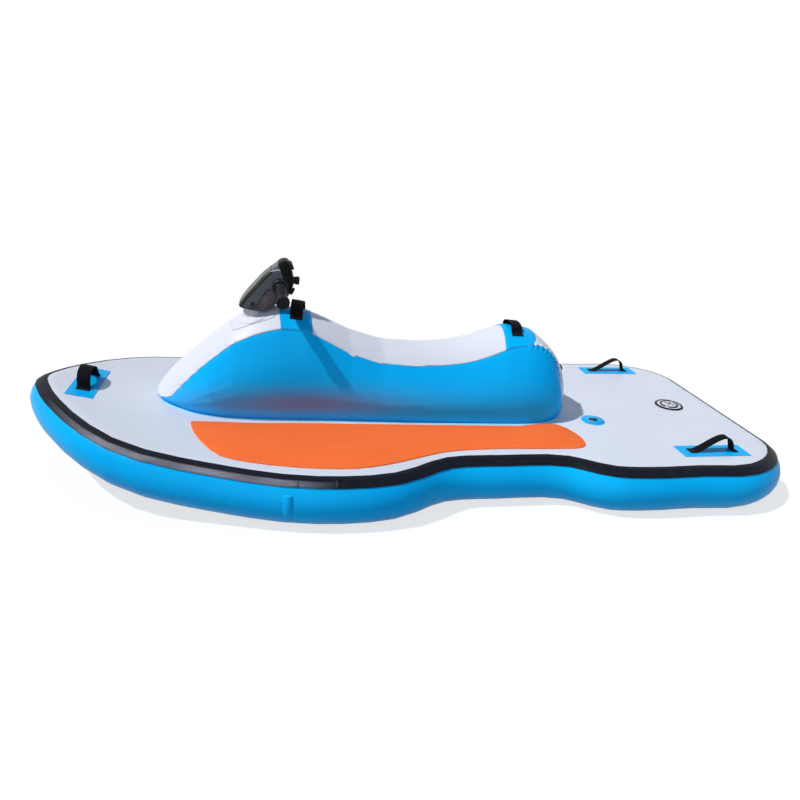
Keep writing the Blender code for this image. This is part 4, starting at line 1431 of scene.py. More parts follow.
@dataclass
class WebbingHandle:
    """A webbing loop on two sewn feet, over a welded patch."""

    name: str
    x: float
    y: float
    span: float
    rise: float
    skew: float = 1.0
    lengthwise: bool = False
    base: float = 0.0
    width: float = 0.050
    thickness: float = 0.0028
    foot: float = 0.026
    steps: int = 28
    fullness: float = 0.72
    surface: Optional[Callable[[float, float], float]] = None
    lean: float = 0.0
    strands: Sequence[float] = (-0.5, -0.25, 0.0, 0.25, 0.5)
    foot_shares: Sequence[float] = (0.2, 0.6, 1.0)
    selvage: float = 0.4
    selvage_angle: float = 50.0
    box: Tuple[float, float, float] = (0.22, 0.86, 0.38)
    thread_sides: int = 6
    stitch_lift: float = 0.0001
    stitch_pitch: float = 0.0042
    stitch_length: float = 0.0028
    thread_radius: float = 0.00045

    def path(self) -> List[Tuple[float, float]]:
        """The strap's course in its own side view.

        Returns:
            The run and the height over the feet at each step, from one end to the other.
        """
        half = self.span / 2
        foot = [half + self.foot * share for share in self.foot_shares]
        line = [(-run, 0.0) for run in reversed(foot)]
        for step in range(1, self.steps):
            share = step / self.steps
            up = math.sin(math.pi * share ** self.skew) ** (self.fullness * self.skew ** 0.5)
            line.append((-math.cos(math.pi * share) * half, self.rise * up))
        return line + [(run, 0.0) for run in foot]

    def ground(self, x: float, y: float) -> float:
        """The height of what the strap is sewn to.

        Args:
            x: the place along the craft.
            y: the place across it.

        Returns:
            The height.
        """
        if self.surface is not None:
            return self.surface(x, y)
        return self.base + RISE.at(x)

    def spot(self, run: float, across: float, height: float) -> Vector:
        """A point of the strap in the craft's frame.

        Args:
            run: the way along the loop from its middle.
            across: the way across the strap.
            height: the height over what it is sewn to.

        Returns:
            The point.
        """
        x, y = self.plan(run, across)
        half = self.span / 2
        low = self.ground(x, y)
        if abs(run) <= half:
            near = self.ground(*self.plan(-half, across))
            far = self.ground(*self.plan(half, across))
            share = run / self.span + 0.5
            low = near * (1 - share) + far * share
        return Vector((x, y, low + height))

    def plan(self, run: float, across: float) -> Tuple[float, float]:
        """Where a point of the strap lies, seen from above.

        Args:
            run: the way along the loop from its middle.
            across: the way across the strap.

        Returns:
            The places along and across the craft.
        """
        if self.lengthwise:
            return self.x + run, self.y + across
        return self.x + across + run * self.lean, self.y + run

    def build(self) -> None:
        """Builds the strap and its stitching."""
        bm = bmesh.new()
        uv_layer = bm.loops.layers.uv.new("strap")
        widths = [share * self.width for share in self.strands]
        line = self.path()
        row = [bm.verts.new(self.spot(line[0][0], width, line[0][1])) for width in widths]
        for pair in zip(row, row[1:]):
            bm.edges.new(pair)
        place = {vert: (0.0, width) for vert, width in zip(row, widths)}
        travelled = 0.0
        for before, here in zip(line, line[1:]):
            travelled += math.hypot(here[0] - before[0], here[1] - before[1])
            row = grow_row(bm, row)
            for vert, width in zip(row, widths):
                place[vert] = (travelled, width)
                vert.co = self.spot(here[0], width, here[1])
        for face in bm.faces:
            for loop in face.loops:
                loop[uv_layer].uv = place[loop.vert]
        face_up(bm)
        strap = dress_node(self.name, STRAP_WEBBING, bm, shading=Shading.SKIN)
        thicken(strap, self.thickness)
        edge = strap.modifiers.new("selvage", "BEVEL")
        edge.width = self.thickness * self.selvage
        edge.segments = 2
        edge.limit_method = "ANGLE"
        edge.angle_limit = math.radians(self.selvage_angle)
        self.stitch()

    def stitch(self) -> None:
        """A box and a cross of thread on both feet."""
        half = self.span / 2
        inner, outer, breadth = self.box
        high = self.width * breadth
        parts = []
        for sign in (-1.0, 1.0):
            near, far = (sign * (half + self.foot * share) for share in (inner, outer))
            a, b, c, d = (near, -high), (near, high), (far, high), (far, -high)
            for start, end in ((a, b), (b, c), (c, d), (d, a), (a, c), (b, d)):
                parts += self.dashes(start, end)
        publish(join_meshes(parts), self.name + "_stitching", THREAD)

    def dashes(self, start: Tuple[float, float], end: Tuple[float, float]) -> List[bmesh.types.BMesh]:
        """Stitches along one line of a foot.

        Args:
            start: run and place across where the line starts.
            end: run and place across where it ends.

        Returns:
            One small mesh for each stitch.
        """
        ahead = (end[0] - start[0], end[1] - start[1])
        count = max(2, int(math.hypot(*ahead) / self.stitch_pitch))
        level = self.thickness + self.stitch_lift
        made = []
        for number in range(count):
            share = (number + 0.5) / count
            here, after = (self.spot(start[0] + ahead[0] * at, start[1] + ahead[1] * at, level)
                           for at in (share, share + 0.05))
            bm = bmesh.new()
            bmesh.ops.create_cone(bm, cap_ends=True, segments=self.thread_sides, radius1=self.thread_radius,
                                  radius2=self.thread_radius, depth=self.stitch_length)
            set_in_place(bm, (after - here).to_track_quat("Z", "Y").to_matrix(), here)
            made.append(bm)
        return made


@dataclass
class Handles:
    """The five webbing handles with the patches of the three on the deck."""

    patch_thickness: float = 0.0018
    gap: float = 0.0003

    def build(self, bladder: Bladder) -> None:
        """Builds the patches and the loops.

        Args:
            bladder: the bladder that two of the handles stand on.
        """
        for node in ("bow_patch", "port_aft_patch", "starboard_aft_patch"):
            dress_node(node, PATCH_BLUE, shading=Shading.SHEET)
        seat = DECK_TOP + self.patch_thickness + self.gap
        bow = WebbingHandle("bow_handle", x=-1.334, y=0.0, span=0.136, rise=0.062, base=seat)
        port = WebbingHandle("port_aft_handle", x=1.178, y=-0.484, span=0.164, rise=0.062, skew=1.7,
                             lengthwise=True, base=seat, width=0.040, fullness=1.05)
        for handle in (bow, port, replace(port, name="starboard_aft_handle", y=-port.y)):
            handle.build()
        lift = 3 * bladder.gap + bladder.fabric + bladder.patch

        def top(x: float, y: float) -> float:
            """Height of the bladder's patches."""
            return bladder.over(x, y).z + lift

        for node, span, rise, lean in (("hump_front_handle", 0.122, 0.043, 0.12),
                                       ("hump_rear_handle", 0.118, 0.030, 0.0)):
            low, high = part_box(node)
            WebbingHandle(node, (low.x + high.x) / 2, 0.0, span, rise, surface=top, lean=lean).build()


# Small deck fittings


@dataclass
class RingPatch:
    """The round port patch with its webbing tab and steel ring."""

    ring_place: Place = (0.780, -0.173, 0.2045)
    ring_radius: float = 0.011
    wire: float = 0.0018
    wire_steps: int = 10
    ring_sides: int = 28
    tab_rim: float = 0.0012

    def build(self) -> None:
        """Builds the patch, the tab and the ring."""
        dress_node("port_ring_patch", PATCH_BLUE, shading=Shading.SHEET)
        tab = merged_copy("port_ring_tab")
        bevel_sharp(tab, self.tab_rim, angle=60.0)
        dress_node("port_ring_tab", DARK_PLASTIC, tab)
        turns = [2 * math.pi * step / self.wire_steps for step in range(self.wire_steps + 1)]
        section = [(self.ring_radius + self.wire * math.cos(turn), self.wire * math.sin(turn))
                   for turn in turns]
        ring = turned(section, self.ring_sides)
        bmesh.ops.translate(ring, verts=ring.verts, vec=self.ring_place)
        publish(ring, "port_tether_ring", STEEL)


@dataclass
class DeckValve:
    """The board's air valve: dark flange, pale seat, broken dark ring and a cap with a cross."""

    x: float = 1.265
    flange: Profile = ((0.0545, 0.0), (0.065, 0.0), (0.0645, 0.0030), (0.0615, 0.0056), (0.0585, 0.0060),
                       (0.0555, 0.0054), (0.0545, 0.0040), (0.0545, 0.0))
    seat: Profile = ((0.0, 0.0), (0.0540, 0.0), (0.0540, 0.0036), (0.0525, 0.0046), (0.0445, 0.0046),
                     (0.0435, 0.0036), (0.0, 0.0036))
    inner_ring: Profile = ((0.0345, 0.0038), (0.0425, 0.0038), (0.0425, 0.0070), (0.0410, 0.0080),
                           (0.0360, 0.0080), (0.0345, 0.0070))
    cap: Profile = ((0.0, 0.0038), (0.0335, 0.0038), (0.0335, 0.0070), (0.0315, 0.0084), (0.0200, 0.0090),
                    (0.0, 0.0092))
    corners: Sequence[float] = (45.0, 135.0, 225.0, 315.0)
    arc_gap: float = 20.0
    sides: int = 56
    bar: Place = (0.054, 0.0050, 0.0040)
    bar_rim: float = 0.0012
    bar_level: float = 0.0092

    def build(self) -> None:
        """Builds the four rings and the cross."""
        parts = len(self.corners)
        arcs = [turned(self.inner_ring, self.sides // parts, corner + self.arc_gap / 2,
                       360.0 / parts - self.arc_gap) for corner in self.corners]
        bars = [self.build_bar(turn) for turn in self.corners[:2]]
        for part, bm, finish in (("ring", turned(self.flange, self.sides), DARK_PLASTIC),
                                 ("seat", turned(self.seat, self.sides), PALE_PLASTIC),
                                 ("gasket", join_meshes(arcs), DARK_PLASTIC),
                                 ("cap", turned(self.cap, self.sides), PALE_PLASTIC),
                                 ("cross", join_meshes(bars), COWL_PLASTIC)):
            node = "deck_valve_" + part
            bmesh.ops.translate(bm, verts=bm.verts, vec=(self.x, 0.0, DECK_TOP))
            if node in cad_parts:
                dress_node(node, finish, bm)
            else:
                publish(bm, node, finish)

    def build_bar(self, turn: float) -> bmesh.types.BMesh:
        """One bar of the cap's cross.

        Args:
            turn: the way that it points, in degrees.

        Returns:
            A closed bar about the valve's axis.
        """
        bar = bmesh.new()
        bmesh.ops.create_cube(bar, size=1.0)
        bmesh.ops.scale(bar, verts=bar.verts, vec=self.bar)
        bevel_sharp(bar, self.bar_rim)
        set_in_place(bar, Matrix.Rotation(math.radians(turn), 3, "Z"), (0, 0, self.bar_level))
        return bar


@dataclass
class TailValve:
    """The bladder's own small valve, low on its tail."""

    rim: float = 0.0012

    def build(self) -> None:
        """Dresses the valve's body."""
        bm = merged_copy("hump_valve")
        bevel_sharp(bm, self.rim, angle=30.0)
        dress_node("hump_valve", DARK_PLASTIC, bm)


# Console


@dataclass
class Console:
    """The turning handlebar console, in its own frame on the steering axis."""

    steer: Place = (-0.676, 0.0, 0.640)
    clearance: float = 0.009
    half_width: float = 0.076
    taper: float = 0.40
    height: float = 0.182
    nose_start: float = 0.005
    nose_end: float = -0.057
    nose_taper: float = 0.34
    front: Profile = ((-0.0555, 0.001), (-0.0530, 0.0140), (-0.0320, 0.0440), (-0.0040, 0.0760),
                      (0.0330, 0.1180), (0.0620, 0.1440), (0.0990, 0.1735), (0.1140, 0.1820))
    rear: Profile = ((0.1290, 0.1825), (0.1410, 0.1710), (0.1500, 0.1390), (0.1560, 0.1120), (0.1530, 0.0870),
                     (0.1380, 0.0520), (0.1150, 0.0360), (0.0900, 0.0180), (0.0620, -0.0030),
                     (0.0380, -0.0130), (0.0000, -0.0110), (-0.0420, -0.0055))
    heart: Tuple[float, float] = (0.062, 0.078)
    rounding: Profile = ((0.0, 0.0), (0.35, 0.0), (0.62, 0.0), (0.76, 0.004), (0.86, 0.016), (0.925, 0.042),
                         (0.965, 0.090), (0.988, 0.17), (1.0, 0.32), (1.004, 0.55))
    belly: float = 0.80
    cheek_inset: float = 0.012
    trim_width: float = 0.0125
    trim_knots: int = 6
    trim_root: float = 0.25
    trim_proud: float = 0.0010
    # Outline of the pale insert that is a painted highlight high on each flank.
    notch: Profile = ((0.0640, 0.1440), (0.0780, 0.1500), (0.0920, 0.1530), (0.1020, 0.1520),
                      (0.1060, 0.1480), (0.0960, 0.1485), (0.0820, 0.1460))
    glint_depths: Tuple[float, float] = (-0.004, 0.0006)
    dash_line: Profile = ((0.0940, 0.1780), (0.1430, 0.0520))
    dash_proud: float = 0.0014
    panel: Profile = ((0.0085, 0.0020), (0.0380, 0.0560), (0.0500, 0.0720), (0.0640, 0.0780),
                      (0.0840, 0.0680), (0.0850, 0.0300), (0.0620, 0.0080), (0.0380, -0.0060))
    recess_depths: Tuple[float, float] = (-0.0040, 0.02)
    panel_depths: Tuple[float, float] = (-0.0050, -0.0018)
    panel_share: float = 0.955
    panel_rim: float = 0.0012
    screw: Tuple[float, float] = (-0.001, 0.018)
    screw_rim: Profile = ((0.0068, -0.0010), (0.0094, -0.0010), (0.0092, 0.0008), (0.0080, 0.0013),
                          (0.0070, 0.0006), (0.0068, -0.0010))
    screw_head: Profile = ((0.0, -0.0010), (0.0070, -0.0010), (0.0070, 0.0004), (0.0036, 0.0005),
                           (0.0032, -0.0004), (0.0, -0.0004))
    screw_sides: int = 28
    grip_centre: Tuple[float, float] = (0.104, 0.087)
    sweep: float = 4.0
    droop: float = 10.0
    grip_start: float = 0.0143
    collar: Profile = ((0.0, -0.0100), (0.0325, -0.0100), (0.0330, 0.0040), (0.0322, 0.0096),
                       (0.0300, 0.0126), (0.0276, 0.0132), (0.0256, 0.0114), (0.0, 0.0108))
    collar_lip: Profile = ((0.0276, 0.0124), (0.0306, 0.0126), (0.0314, 0.0138), (0.0300, 0.0148),
                           (0.0268, 0.0144), (0.0256, 0.0114), (0.0276, 0.0124))
    grip_root: Profile = ((0.0, -0.0020), (0.0232, -0.0020), (0.0240, 0.002), (0.0240, 0.010),
                          (0.0222, 0.0135))
    grip_ribs: int = 9
    rib_ends: Tuple[float, float] = (0.016, 0.116)
    rib: Profile = ((0.0208, 0.0), (0.0218, 0.14), (0.0218, 0.80), (0.0208, 0.94))
    grip_cap: Profile = ((0.0212, 0.1180), (0.0246, 0.1220), (0.0258, 0.1280), (0.0258, 0.1370),
                         (0.0244, 0.1412), (0.0214, 0.1430), (0.0160, 0.1424), (0.0060, 0.1412),
                         (0.0, 0.1410))
    grip_sides: int = 48
    knobs: Sequence[Tuple[str, int]] = (
        ("dash_top_cap", 22), ("dash_upper_knob", 16), ("dash_lower_knob", 14))
    knob_foot: float = -0.0060
    knob: Profile = ((0.93, 0.12), (0.84, 0.20), (0.84, 0.28), (1.0, 0.36), (1.0, 0.84), (0.90, 0.97),
                     (0.62, 1.0), (0.56, 0.94), (0.0, 0.93))
    flute: float = 0.93
    fluted_from: Tuple[float, float] = (0.88, 0.30)
    boot: Profile = ((0.0, -0.0600), (1.00, -0.0600), (0.99, -0.0400), (0.96, -0.0220), (0.92, -0.0110),
                     (0.89, -0.0050), (0.90, -0.0028), (0.89, -0.0008), (0.85, -0.0002), (0.0, -0.0002))
    boot_sides: int = 96
    boot_radii: Tuple[float, float] = (0.046, 0.062)
    boot_folds: float = 13.0
    fold_wander: float = 1.6
    fold_depth: float = 0.045
    fold_drop: float = 0.02
    fold_foot: float = 0.35
    overlay_steps: int = 28
    patch_roundness: float = 0.35
    ring_centre: float = -0.672
    ring_half: Tuple[float, float] = (0.076, 0.086)

    def spot(self, x: float, y: float, z: float) -> Vector:
        """A point of the console in the craft's frame."""
        return Vector((self.steer[0] + x, y, self.steer[2] + self.clearance + z))

    def flank(self, x: float, z: float) -> float:
        """Half width of the housing at a place in its side view.

        Args:
            x: the way aft of the steering axis.
            z: the height in the console's frame.

        Returns:
            The half width.
        """
        reach = max(0.0, self.nose_start - x) / (self.nose_start - self.nose_end)
        upright = self.half_width * (1.0 - self.taper * max(z, 0.0) / self.height)
        return upright * (1.0 - self.nose_taper * reach ** 2)

    def build(self, bladder: Bladder) -> None:
        """Builds every piece of the console and the boot under it.

        Args:
            bladder: the bladder that the boot stands on.
        """
        shell = self.shell()
        self.build_trim(shell.copy())
        self.build_dash(shell.copy())
        self.cut_recesses(dress_node("console_housing", COWL_PLASTIC, shell, Body.CONSOLE, Shading.HOUSING))
        dress_node("console_stem", DARK_PLASTIC, None, Body.CONSOLE)
        for side in Side:
            self.build_panel(side)
            # A pale insert high on each flank: a painted highlight where the flank's top edge glints.
            insert = self.prism(side, self.notch, *self.glint_depths)
            publish(insert, side.label + "_console_insert", GLINT_PLASTIC, Body.CONSOLE)
            self.build_screw(side)
            self.build_grip(side)
        self.build_knobs()
        self.build_boot(bladder)

    @staticmethod
    def smooth_line(points: Profile) -> List[Vector]:
        """A smooth closed line through some points of the side view.

        Args:
            points: the points.

        Returns:
            Three points of the line for each one given.
        """
        knots = [Vector((x, z, 0.0)) for x, z in points]
        line: List[Vector] = []
        count = len(knots)
        for number in range(count):
            a, b, c, d = (knots[(number + k) % count] for k in (-1, 0, 1, 2))
            for share in (0.0, 1 / 3, 2 / 3):
                bend = c - a + share * (2 * a - 5 * b + 4 * c - d + share * (3 * (b - c) + d - a))
                line.append(b + 0.5 * share * bend)
        return line

    def shell(self) -> bmesh.types.BMesh:
        """The housing: its side view carried across in steps that close in on the rounded flanks.

        Returns:
            A closed shell in the craft's frame.
        """
        line = self.smooth_line((*self.front, *self.rear))
        steps = [(-share, shrink) for share, shrink in reversed(self.rounding)] + list(self.rounding[1:])
        bm = bmesh.new()
        ring = [bm.verts.new(point) for point in line]
        cheeks = [bm.faces.new(ring)]
        self.place_ring(ring, line, steps[0])
        bmesh.ops.inset_individual(bm, faces=cheeks, thickness=self.cheek_inset, depth=0.0)
        for step in steps[1:]:
            ring = grow_row(bm, ring, closed=True)
            self.place_ring(ring, line, step)
        bmesh.ops.inset_individual(bm, faces=[bm.faces.new(ring)], thickness=self.cheek_inset, depth=0.0)
        bmesh.ops.triangulate(bm, faces=[f for f in bm.faces if len(f.verts) > 4], quad_method="BEAUTY",
                              ngon_method="BEAUTY")
        bmesh.ops.recalc_face_normals(bm, faces=bm.faces)
        return bm

    def place_ring(self, ring: Sequence[bmesh.types.BMVert], line: List[Vector],
                   step: Tuple[float, float]) -> None:
        """Puts a ring of vertices where a step of the rounding has them.

        Args:
            ring: the vertices, one for each point of the side view.
            line: the side view.
            step: share of the half width, and how far the ring closes in.
        """
        share, shrink = step
        heart = Vector((*self.heart, 0.0))
        for vert, point in zip(ring, line):
            place = heart + (point - heart) * (1.0 - shrink)
            height = max(place.y, 0.0) if abs(share) < self.belly else place.y
            vert.co = self.spot(place.x, share * self.flank(place.x, height), height)

    def nearest_on_front(self, spot: Vector) -> Tuple[Vector, Vector]:
        """The point of the leading edge that is nearest to a spot, in the side view.

        Args:
            spot: a point in the craft's frame.

        Returns:
            The nearest point, and the way from it to the spot.
        """
        local = Vector((spot.x - self.steer[0], spot.z - self.steer[2] - self.clearance))
        edge = self.front[:self.trim_knots]
        nearest = []
        for start, end in zip(edge, edge[1:]):
            first, along = Vector(start), Vector(end) - Vector(start)
            share = max(0.0, min(1.0, (local - first).dot(along) / along.length_squared))
            nearest.append(first + along * share)
        best = min(nearest, key=lambda point: (local - point).length)
        return best, local - best

    def build_trim(self, bm: bmesh.types.BMesh) -> None:
        """The trim over the leading edge, wrapped onto both flanks and cut at an even width.

        Args:
            bm: a copy of the housing's shell, which is used up.
        """
        tree = BVHTree.FromBMesh(bm)
        beyond = [f for f in bm.faces
                  if self.nearest_on_front(f.calc_center_median())[1].length > self.trim_width]
        bmesh.ops.delete(bm, geom=beyond, context="FACES")
        for vert in {v for e in bm.edges if e.is_boundary for v in e.verts}:
            point, away = self.nearest_on_front(vert.co)
            if away.length > self.trim_width * self.trim_root:
                edge = point + away.normalized() * self.trim_width
                place = self.spot(edge.x, 0.0, edge.y)
                vert.co = tree.find_nearest(Vector((place.x, vert.co.y, place.z)))[0]
        thicken(publish(bm, "console_leading_edge", TRIM_PLASTIC, Body.CONSOLE, shading=Shading.SKIN),
                self.trim_proud)

    def build_dash(self, bm: bmesh.types.BMesh) -> None:
        """The coarse black cover over the rear face, wrapped onto both flanks.

        Args:
            bm: a copy of the housing's shell, which is used up.
        """
        top, foot = (self.spot(x, 0.0, z) for x, z in self.dash_line)
        ahead = (foot - top).cross(Vector((0.0, 1.0, 0.0))).normalized()
        slice_off(bm, top, -ahead if ahead.x > 0.0 else ahead)
        thicken(publish(bm, "console_dash_cover", DASH_PLASTIC, Body.CONSOLE, shading=Shading.SKIN),
                self.dash_proud)

    def prism(self, side: Side, points: Profile, inner: float, outer: float) -> bmesh.types.BMesh:
        """A block with an outline in the side view, between two distances from the flank.

        Args:
            side: which flank.
            points: the outline.
            inner: the inner face's distance out from the flank.
            outer: the outer face's.

        Returns:
            A closed block.
        """
        bm = flat_outline([(p.x, p.y) for p in self.smooth_line(points)], 1.0)
        for vert in bm.verts:
            x, z = vert.co.x, vert.co.y
            out = self.flank(x, z) + (outer if vert.co.z > 0.5 else inner)
            vert.co = self.spot(x, side.value * out, z)
        bmesh.ops.recalc_face_normals(bm, faces=bm.faces)
        return bm

    def cut_recesses(self, housing: bpy.types.Object) -> None:
        """Cuts the panel recess into both flanks.

        Args:
            housing: the published housing.
        """
        blocks = join_meshes([self.prism(side, self.panel, *self.recess_depths) for side in Side])
        cutter = stand_up(blocks, "recess_blocks")
        cut = housing.modifiers.new("recess", "BOOLEAN")
        cut.object = cutter
        cut.solver = "EXACT"
        carved = baked(housing)
        housing.modifiers.clear()
        carved.set_sharp_from_angle(angle=math.radians(Shading.HOUSING.value))
        housing.data = carved
        bpy.data.objects.remove(cutter)

    def build_panel(self, side: Side) -> None:
        """The insert in a flank's recess.

        Args:
            side: which flank.
        """
        middle = Vector((sum(p[0] for p in self.panel), sum(p[1] for p in self.panel))) / len(self.panel)
        inner = [tuple(middle + (Vector(p) - middle) * self.panel_share) for p in self.panel]
        bm = self.prism(side, inner, *self.panel_depths)
        bevel_sharp(bm, self.panel_rim, segments=3, angle=50.0)
        publish(bm, side.label + "_console_panel", PANEL_PLASTIC, Body.CONSOLE)

    def build_screw(self, side: Side) -> None:
        """The screw low on a flank: a dished rim round a dark socket head.

        Args:
            side: which flank.
        """
        lean = math.atan2(self.half_width * self.taper, self.height)
        turn = Matrix.Rotation(side.value * -(math.pi / 2 - lean), 3, "X")
        x, z = self.screw
        place = self.spot(x, side.value * self.flank(x, z), z)
        for part, profile, finish in (("rim", self.screw_rim, TRIM_PLASTIC),
                                      ("head", self.screw_head, DASH_PLASTIC)):
            bm = turned(profile, self.screw_sides)
            set_in_place(bm, turn, place)
            publish(bm, f"{side.label}_screw_{part}", finish, Body.CONSOLE)

    def grip_frame(self, side: Side) -> Tuple[Vector, Vector, Matrix]:
        """Where a grip starts, which way it points, and the turn that takes Z there.

        Args:
            side: which grip.

        Returns:
            The root, the direction and the turn.
        """
        sweep, droop = math.radians(self.sweep), math.radians(self.droop)
        out = Vector((math.sin(sweep), side.value * math.cos(sweep), -math.sin(droop))).normalized()
        turn = out.to_track_quat("Z", "Y").to_matrix()
        x, z = self.grip_centre
        return self.spot(x, side.value * self.flank(x, z), z), out, turn

    def build_grip(self, side: Side) -> None:
        """A ribbed grip, its end cap, and the collar it comes out of.

        Args:
            side: which grip.
        """
        root, out, turn = self.grip_frame(side)
        start, end = self.rib_ends
        pitch = (end - start) / self.grip_ribs
        ribs = [(radius, start + (number + share) * pitch)
                for number in range(self.grip_ribs) for radius, share in self.rib]
        for profile, offset, part, finish, nodes in (
                (self.collar, 0.0, "_collar_cup", COLLAR_PLASTIC, (side.label + "_collar",)),
                (self.collar_lip, 0.0, "_collar_lip", TRIM_PLASTIC, ()),
                ((*self.grip_root, *ribs, *self.grip_cap), self.grip_start, "_grip_rubber", GRIP_RUBBER,
                 (side.label + "_grip",))):
            bm = turned(profile, self.grip_sides)
            set_in_place(bm, turn, root + out * offset)
            publish(bm, side.label + part, finish, Body.CONSOLE, nodes)

    def build_knobs(self) -> None:
        """The three round controls on the rear face, each with a fluted rim on a low boss."""
        for node, flutes in self.knobs:
            packed = merged_copy(node)
            bmesh.ops.dissolve_limit(packed, angle_limit=math.radians(1.0), verts=packed.verts,
                                     edges=packed.edges)
            caps = sorted((f for f in packed.faces if len(f.verts) > 6), key=lambda f: f.calc_area())
            foot, crown = caps[-1], caps[0]
            base, axis = foot.calc_center_median(), -foot.normal
            tall = (crown.calc_center_median() - base).dot(axis)
            radius = max((v.co - base).length for v in foot.verts)
            packed.free()
            steps = 2 * flutes
            profile = [(0.0, self.knob_foot), (radius * self.knob[0][0], self.knob_foot)]
            profile += [(radius * out, tall * up) for out, up in self.knob]
            knob = turned(profile, steps)
            out, up = self.fluted_from
            for vert in knob.verts:
                number = round(math.atan2(vert.co.y, vert.co.x) / (2 * math.pi) * steps)
                if vert.co.xy.length > radius * out and vert.co.z > tall * up and number % 2:
                    vert.co.xy *= self.flute
            set_in_place(knob, axis.to_track_quat("Z", "Y").to_matrix(), base)
            dress_node(node, KNOB_PLASTIC, knob, Body.CONSOLE, Shading.KNOB)

    def build_boot(self, bladder: Bladder) -> None:
        """The fabric boot with its soft folds, and the two layers that reinforce the skin under it.

        Args:
            bladder: the bladder that it stands on.
        """
        boot = turned(self.boot, self.boot_sides)
        for vert in boot.verts:
            bearing = math.atan2(vert.co.y, vert.co.x)
            low = min(1.0, max(0.0, -vert.co.z / self.fold_drop))
            wander = self.fold_wander * math.sin(3.0 * bearing)
            fold = 0.5 + 0.5 * math.sin(bearing * self.boot_folds + wander)
            deep = min(low, self.fold_foot + (1.0 - self.fold_foot) * (1.0 - low) * 2.0)
            share = 1.0 - self.fold_depth * fold * deep
            x, y = (at * share * radius for at, radius in zip(vert.co.xy, self.boot_radii))
            vert.co = Vector((x, y, vert.co.z)) + Vector(self.steer)
        dress_node("console_boot", BOOT_WHITE, boot, shading=Shading.ROUNDED)
        lift = 2 * bladder.gap + bladder.fabric
        low_end, high_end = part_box("console_patch")
        half = ((high_end.x - low_end.x) / 2, (high_end.y - low_end.y) / 2)
        patch = self.overlay(bladder, (low_end.x + high_end.x) / 2, half, self.patch_roundness, lift)
        thicken(dress_node("console_patch", TOP_WHITE, patch, shading=Shading.SKIN), bladder.patch)
        lift += bladder.patch + bladder.gap
        ring = self.overlay(bladder, self.ring_centre, self.ring_half, 1.0, lift)
        thicken(publish(ring, "boot_reinforcement", TOP_WHITE, shading=Shading.SKIN), bladder.patch)

    def overlay(self, bladder: Bladder, middle: float, half: Tuple[float, float], roundness: float,
                lift: float) -> bmesh.types.BMesh:
        """A thin layer welded to the bladder's top, with rounded corners.

        Args:
            bladder: the bladder.
            middle: where its middle is along the craft.
            half: half its size along and across the craft.
            roundness: 0 for a square outline, 1 for a round one.
            lift: how far its underside stands off the skin.

        Returns:
            An open sheet.
        """
        bm = bmesh.new()
        bmesh.ops.create_grid(bm, x_segments=self.overlay_steps, y_segments=self.overlay_steps, size=1.0)
        for vert in bm.verts:
            x, y = vert.co.xy
            round_x, round_y = x * math.sqrt(1.0 - y * y / 2), y * math.sqrt(1.0 - x * x / 2)
            x, y = x + (round_x - x) * roundness, y + (round_y - y) * roundness
            vert.co = bladder.over(middle + x * half[0], y * half[1], lift)
        face_up(bm)
        return bm


# Studio


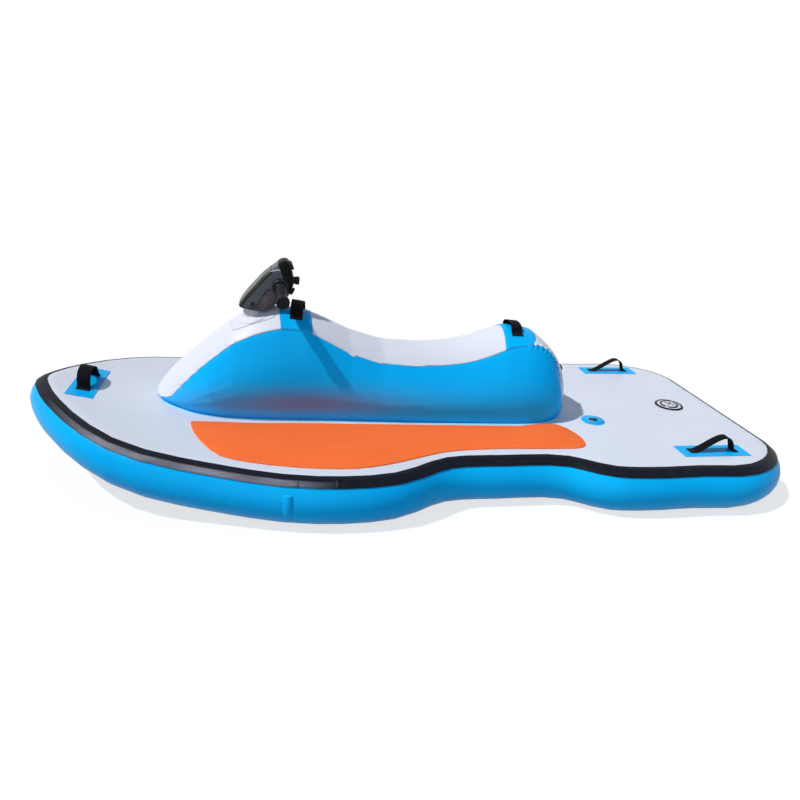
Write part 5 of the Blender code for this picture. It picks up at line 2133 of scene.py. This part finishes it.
@dataclass
class Studio:
    """Camera, lamps, floor and world."""

    focal_px: float = 667.42
    image_px: float = 800.0
    sensor_mm: float = 36.0
    pitch: float = 22.059
    yaw: float = -11.167
    roll: float = 4.145
    eye: Place = (-0.580, -2.690, 1.341)
    key_from: Place = (-0.572, -0.08, 0.817)
    key_strength: float = 3.20
    key_angle: float = 2.0
    key_colour: Colour = (1.0, 0.955, 0.90)
    front_from: Place = (-0.25, -0.95, 0.12)
    front_strength: float = 0.84
    front_angle: float = 60.0
    sky: Colour = (0.125, 0.185, 0.285)
    floor_bounce: Colour = (0.36, 0.37, 0.38)
    floor_glow: float = 0.72
    floor_reach: float = 60.0
    floor_level: float = -0.0006

    def build(self) -> None:
        """Builds the whole studio."""
        scene = bpy.context.scene
        scene.view_settings.view_transform = "Standard"
        self.build_camera()
        self.lamp("key_lamp", self.key_from, self.key_strength, self.key_angle, self.key_colour)
        self.lamp("front_fill", self.front_from, self.front_strength, self.front_angle, WHITE)
        self.build_world()
        self.build_floor()

    def build_camera(self) -> None:
        """Sets the camera to the picture's angle."""
        data = bpy.data.cameras.new("camera")
        data.sensor_width = self.sensor_mm
        data.lens = self.focal_px / self.image_px * data.sensor_width
        camera = bpy.data.objects.new("camera", data)
        bpy.context.scene.collection.objects.link(camera)
        yaw, pitch, roll = (math.radians(a) for a in (self.yaw, self.pitch, self.roll))
        right = Vector((math.cos(yaw), math.sin(yaw), 0.0))
        ahead = Vector((-math.sin(yaw), math.cos(yaw), 0.0))
        up = Vector((0.0, 0.0, 1.0))
        look = ahead * math.cos(pitch) - up * math.sin(pitch)
        down = -up * math.cos(pitch) - ahead * math.sin(pitch)
        image_x = right * math.cos(roll) - down * math.sin(roll)
        image_y = right * math.sin(roll) + down * math.cos(roll)
        turn = Matrix((image_x, -image_y, -look)).transposed().to_4x4()
        camera.matrix_world = Matrix.Translation(self.eye) @ turn
        bpy.context.scene.camera = camera

    def lamp(self, name: str, source: Place, strength: float, angle: float, colour: Colour) -> None:
        """A distant lamp.

        Args:
            name: its name.
            source: the direction that its light comes from.
            strength: its strength.
            angle: how wide it is, in degrees.
            colour: its colour.
        """
        data = bpy.data.lights.new(name, "SUN")
        data.energy = strength
        data.angle = math.radians(angle)
        data.color = colour
        lamp = bpy.data.objects.new(name, data)
        lamp.rotation_mode = "QUATERNION"
        lamp.rotation_quaternion = (-Vector(source)).to_track_quat("-Z", "Y")
        bpy.context.scene.collection.objects.link(lamp)

    def build_world(self) -> None:
        """A soft sky for the object and plain white for the camera and for gloss."""
        world = bpy.data.worlds.new("studio_world")
        bpy.context.scene.world = world
        world.use_nodes = True
        graph = NodeGraph(world.node_tree, "ShaderNodeOutputWorld")
        seen = graph.any_ray("Is Camera Ray", "Is Transmission Ray", "Is Glossy Ray")
        sky = graph.node("ShaderNodeBackground", None, {"Color": self.sky})
        white = graph.node("ShaderNodeBackground", None, {"Color": WHITE})
        graph.feed(graph.surface, graph.node("ShaderNodeMixShader", None, {0: seen, 1: sky, 2: white}))

    def build_floor(self) -> None:
        """A wide pale floor that shows near white and keeps the craft's shadow."""
        bm = bmesh.new()
        bmesh.ops.create_grid(bm, x_segments=2, y_segments=2, size=self.floor_reach)
        bmesh.ops.translate(bm, verts=bm.verts, vec=(0, 0, self.floor_level))
        floor = stand_up(bm, "studio_floor")
        graph = FinishGraph("studio_floor_paint")
        seen = graph.any_ray("Is Camera Ray", "Is Glossy Ray")
        paint = graph.mix(seen, self.floor_bounce, WHITE)
        floor.data.materials.append(graph.dress(base_color=paint, roughness=1.0, specular_ior_level=0.0))
        glow = graph.node("ShaderNodeEmission", None, {"Color": WHITE, "Strength": 1.0})
        shown = {0: seen * self.floor_glow, 1: graph.shader, 2: glow}
        graph.feed(graph.surface, graph.node("ShaderNodeMixShader", None, shown))


def main() -> None:
    """Builds the craft from the board up, then the studio."""
    logging.basicConfig(level=logging.INFO, format="%(name)s: %(message)s")
    Board().build()
    bladder = Bladder()
    bladder.build()
    FootPads().build()
    Handles().build(bladder)
    RingPatch().build()
    DeckValve().build()
    TailValve().build()
    Console().build(bladder)
    Studio().build()


if __name__ == "__main__":
    main()
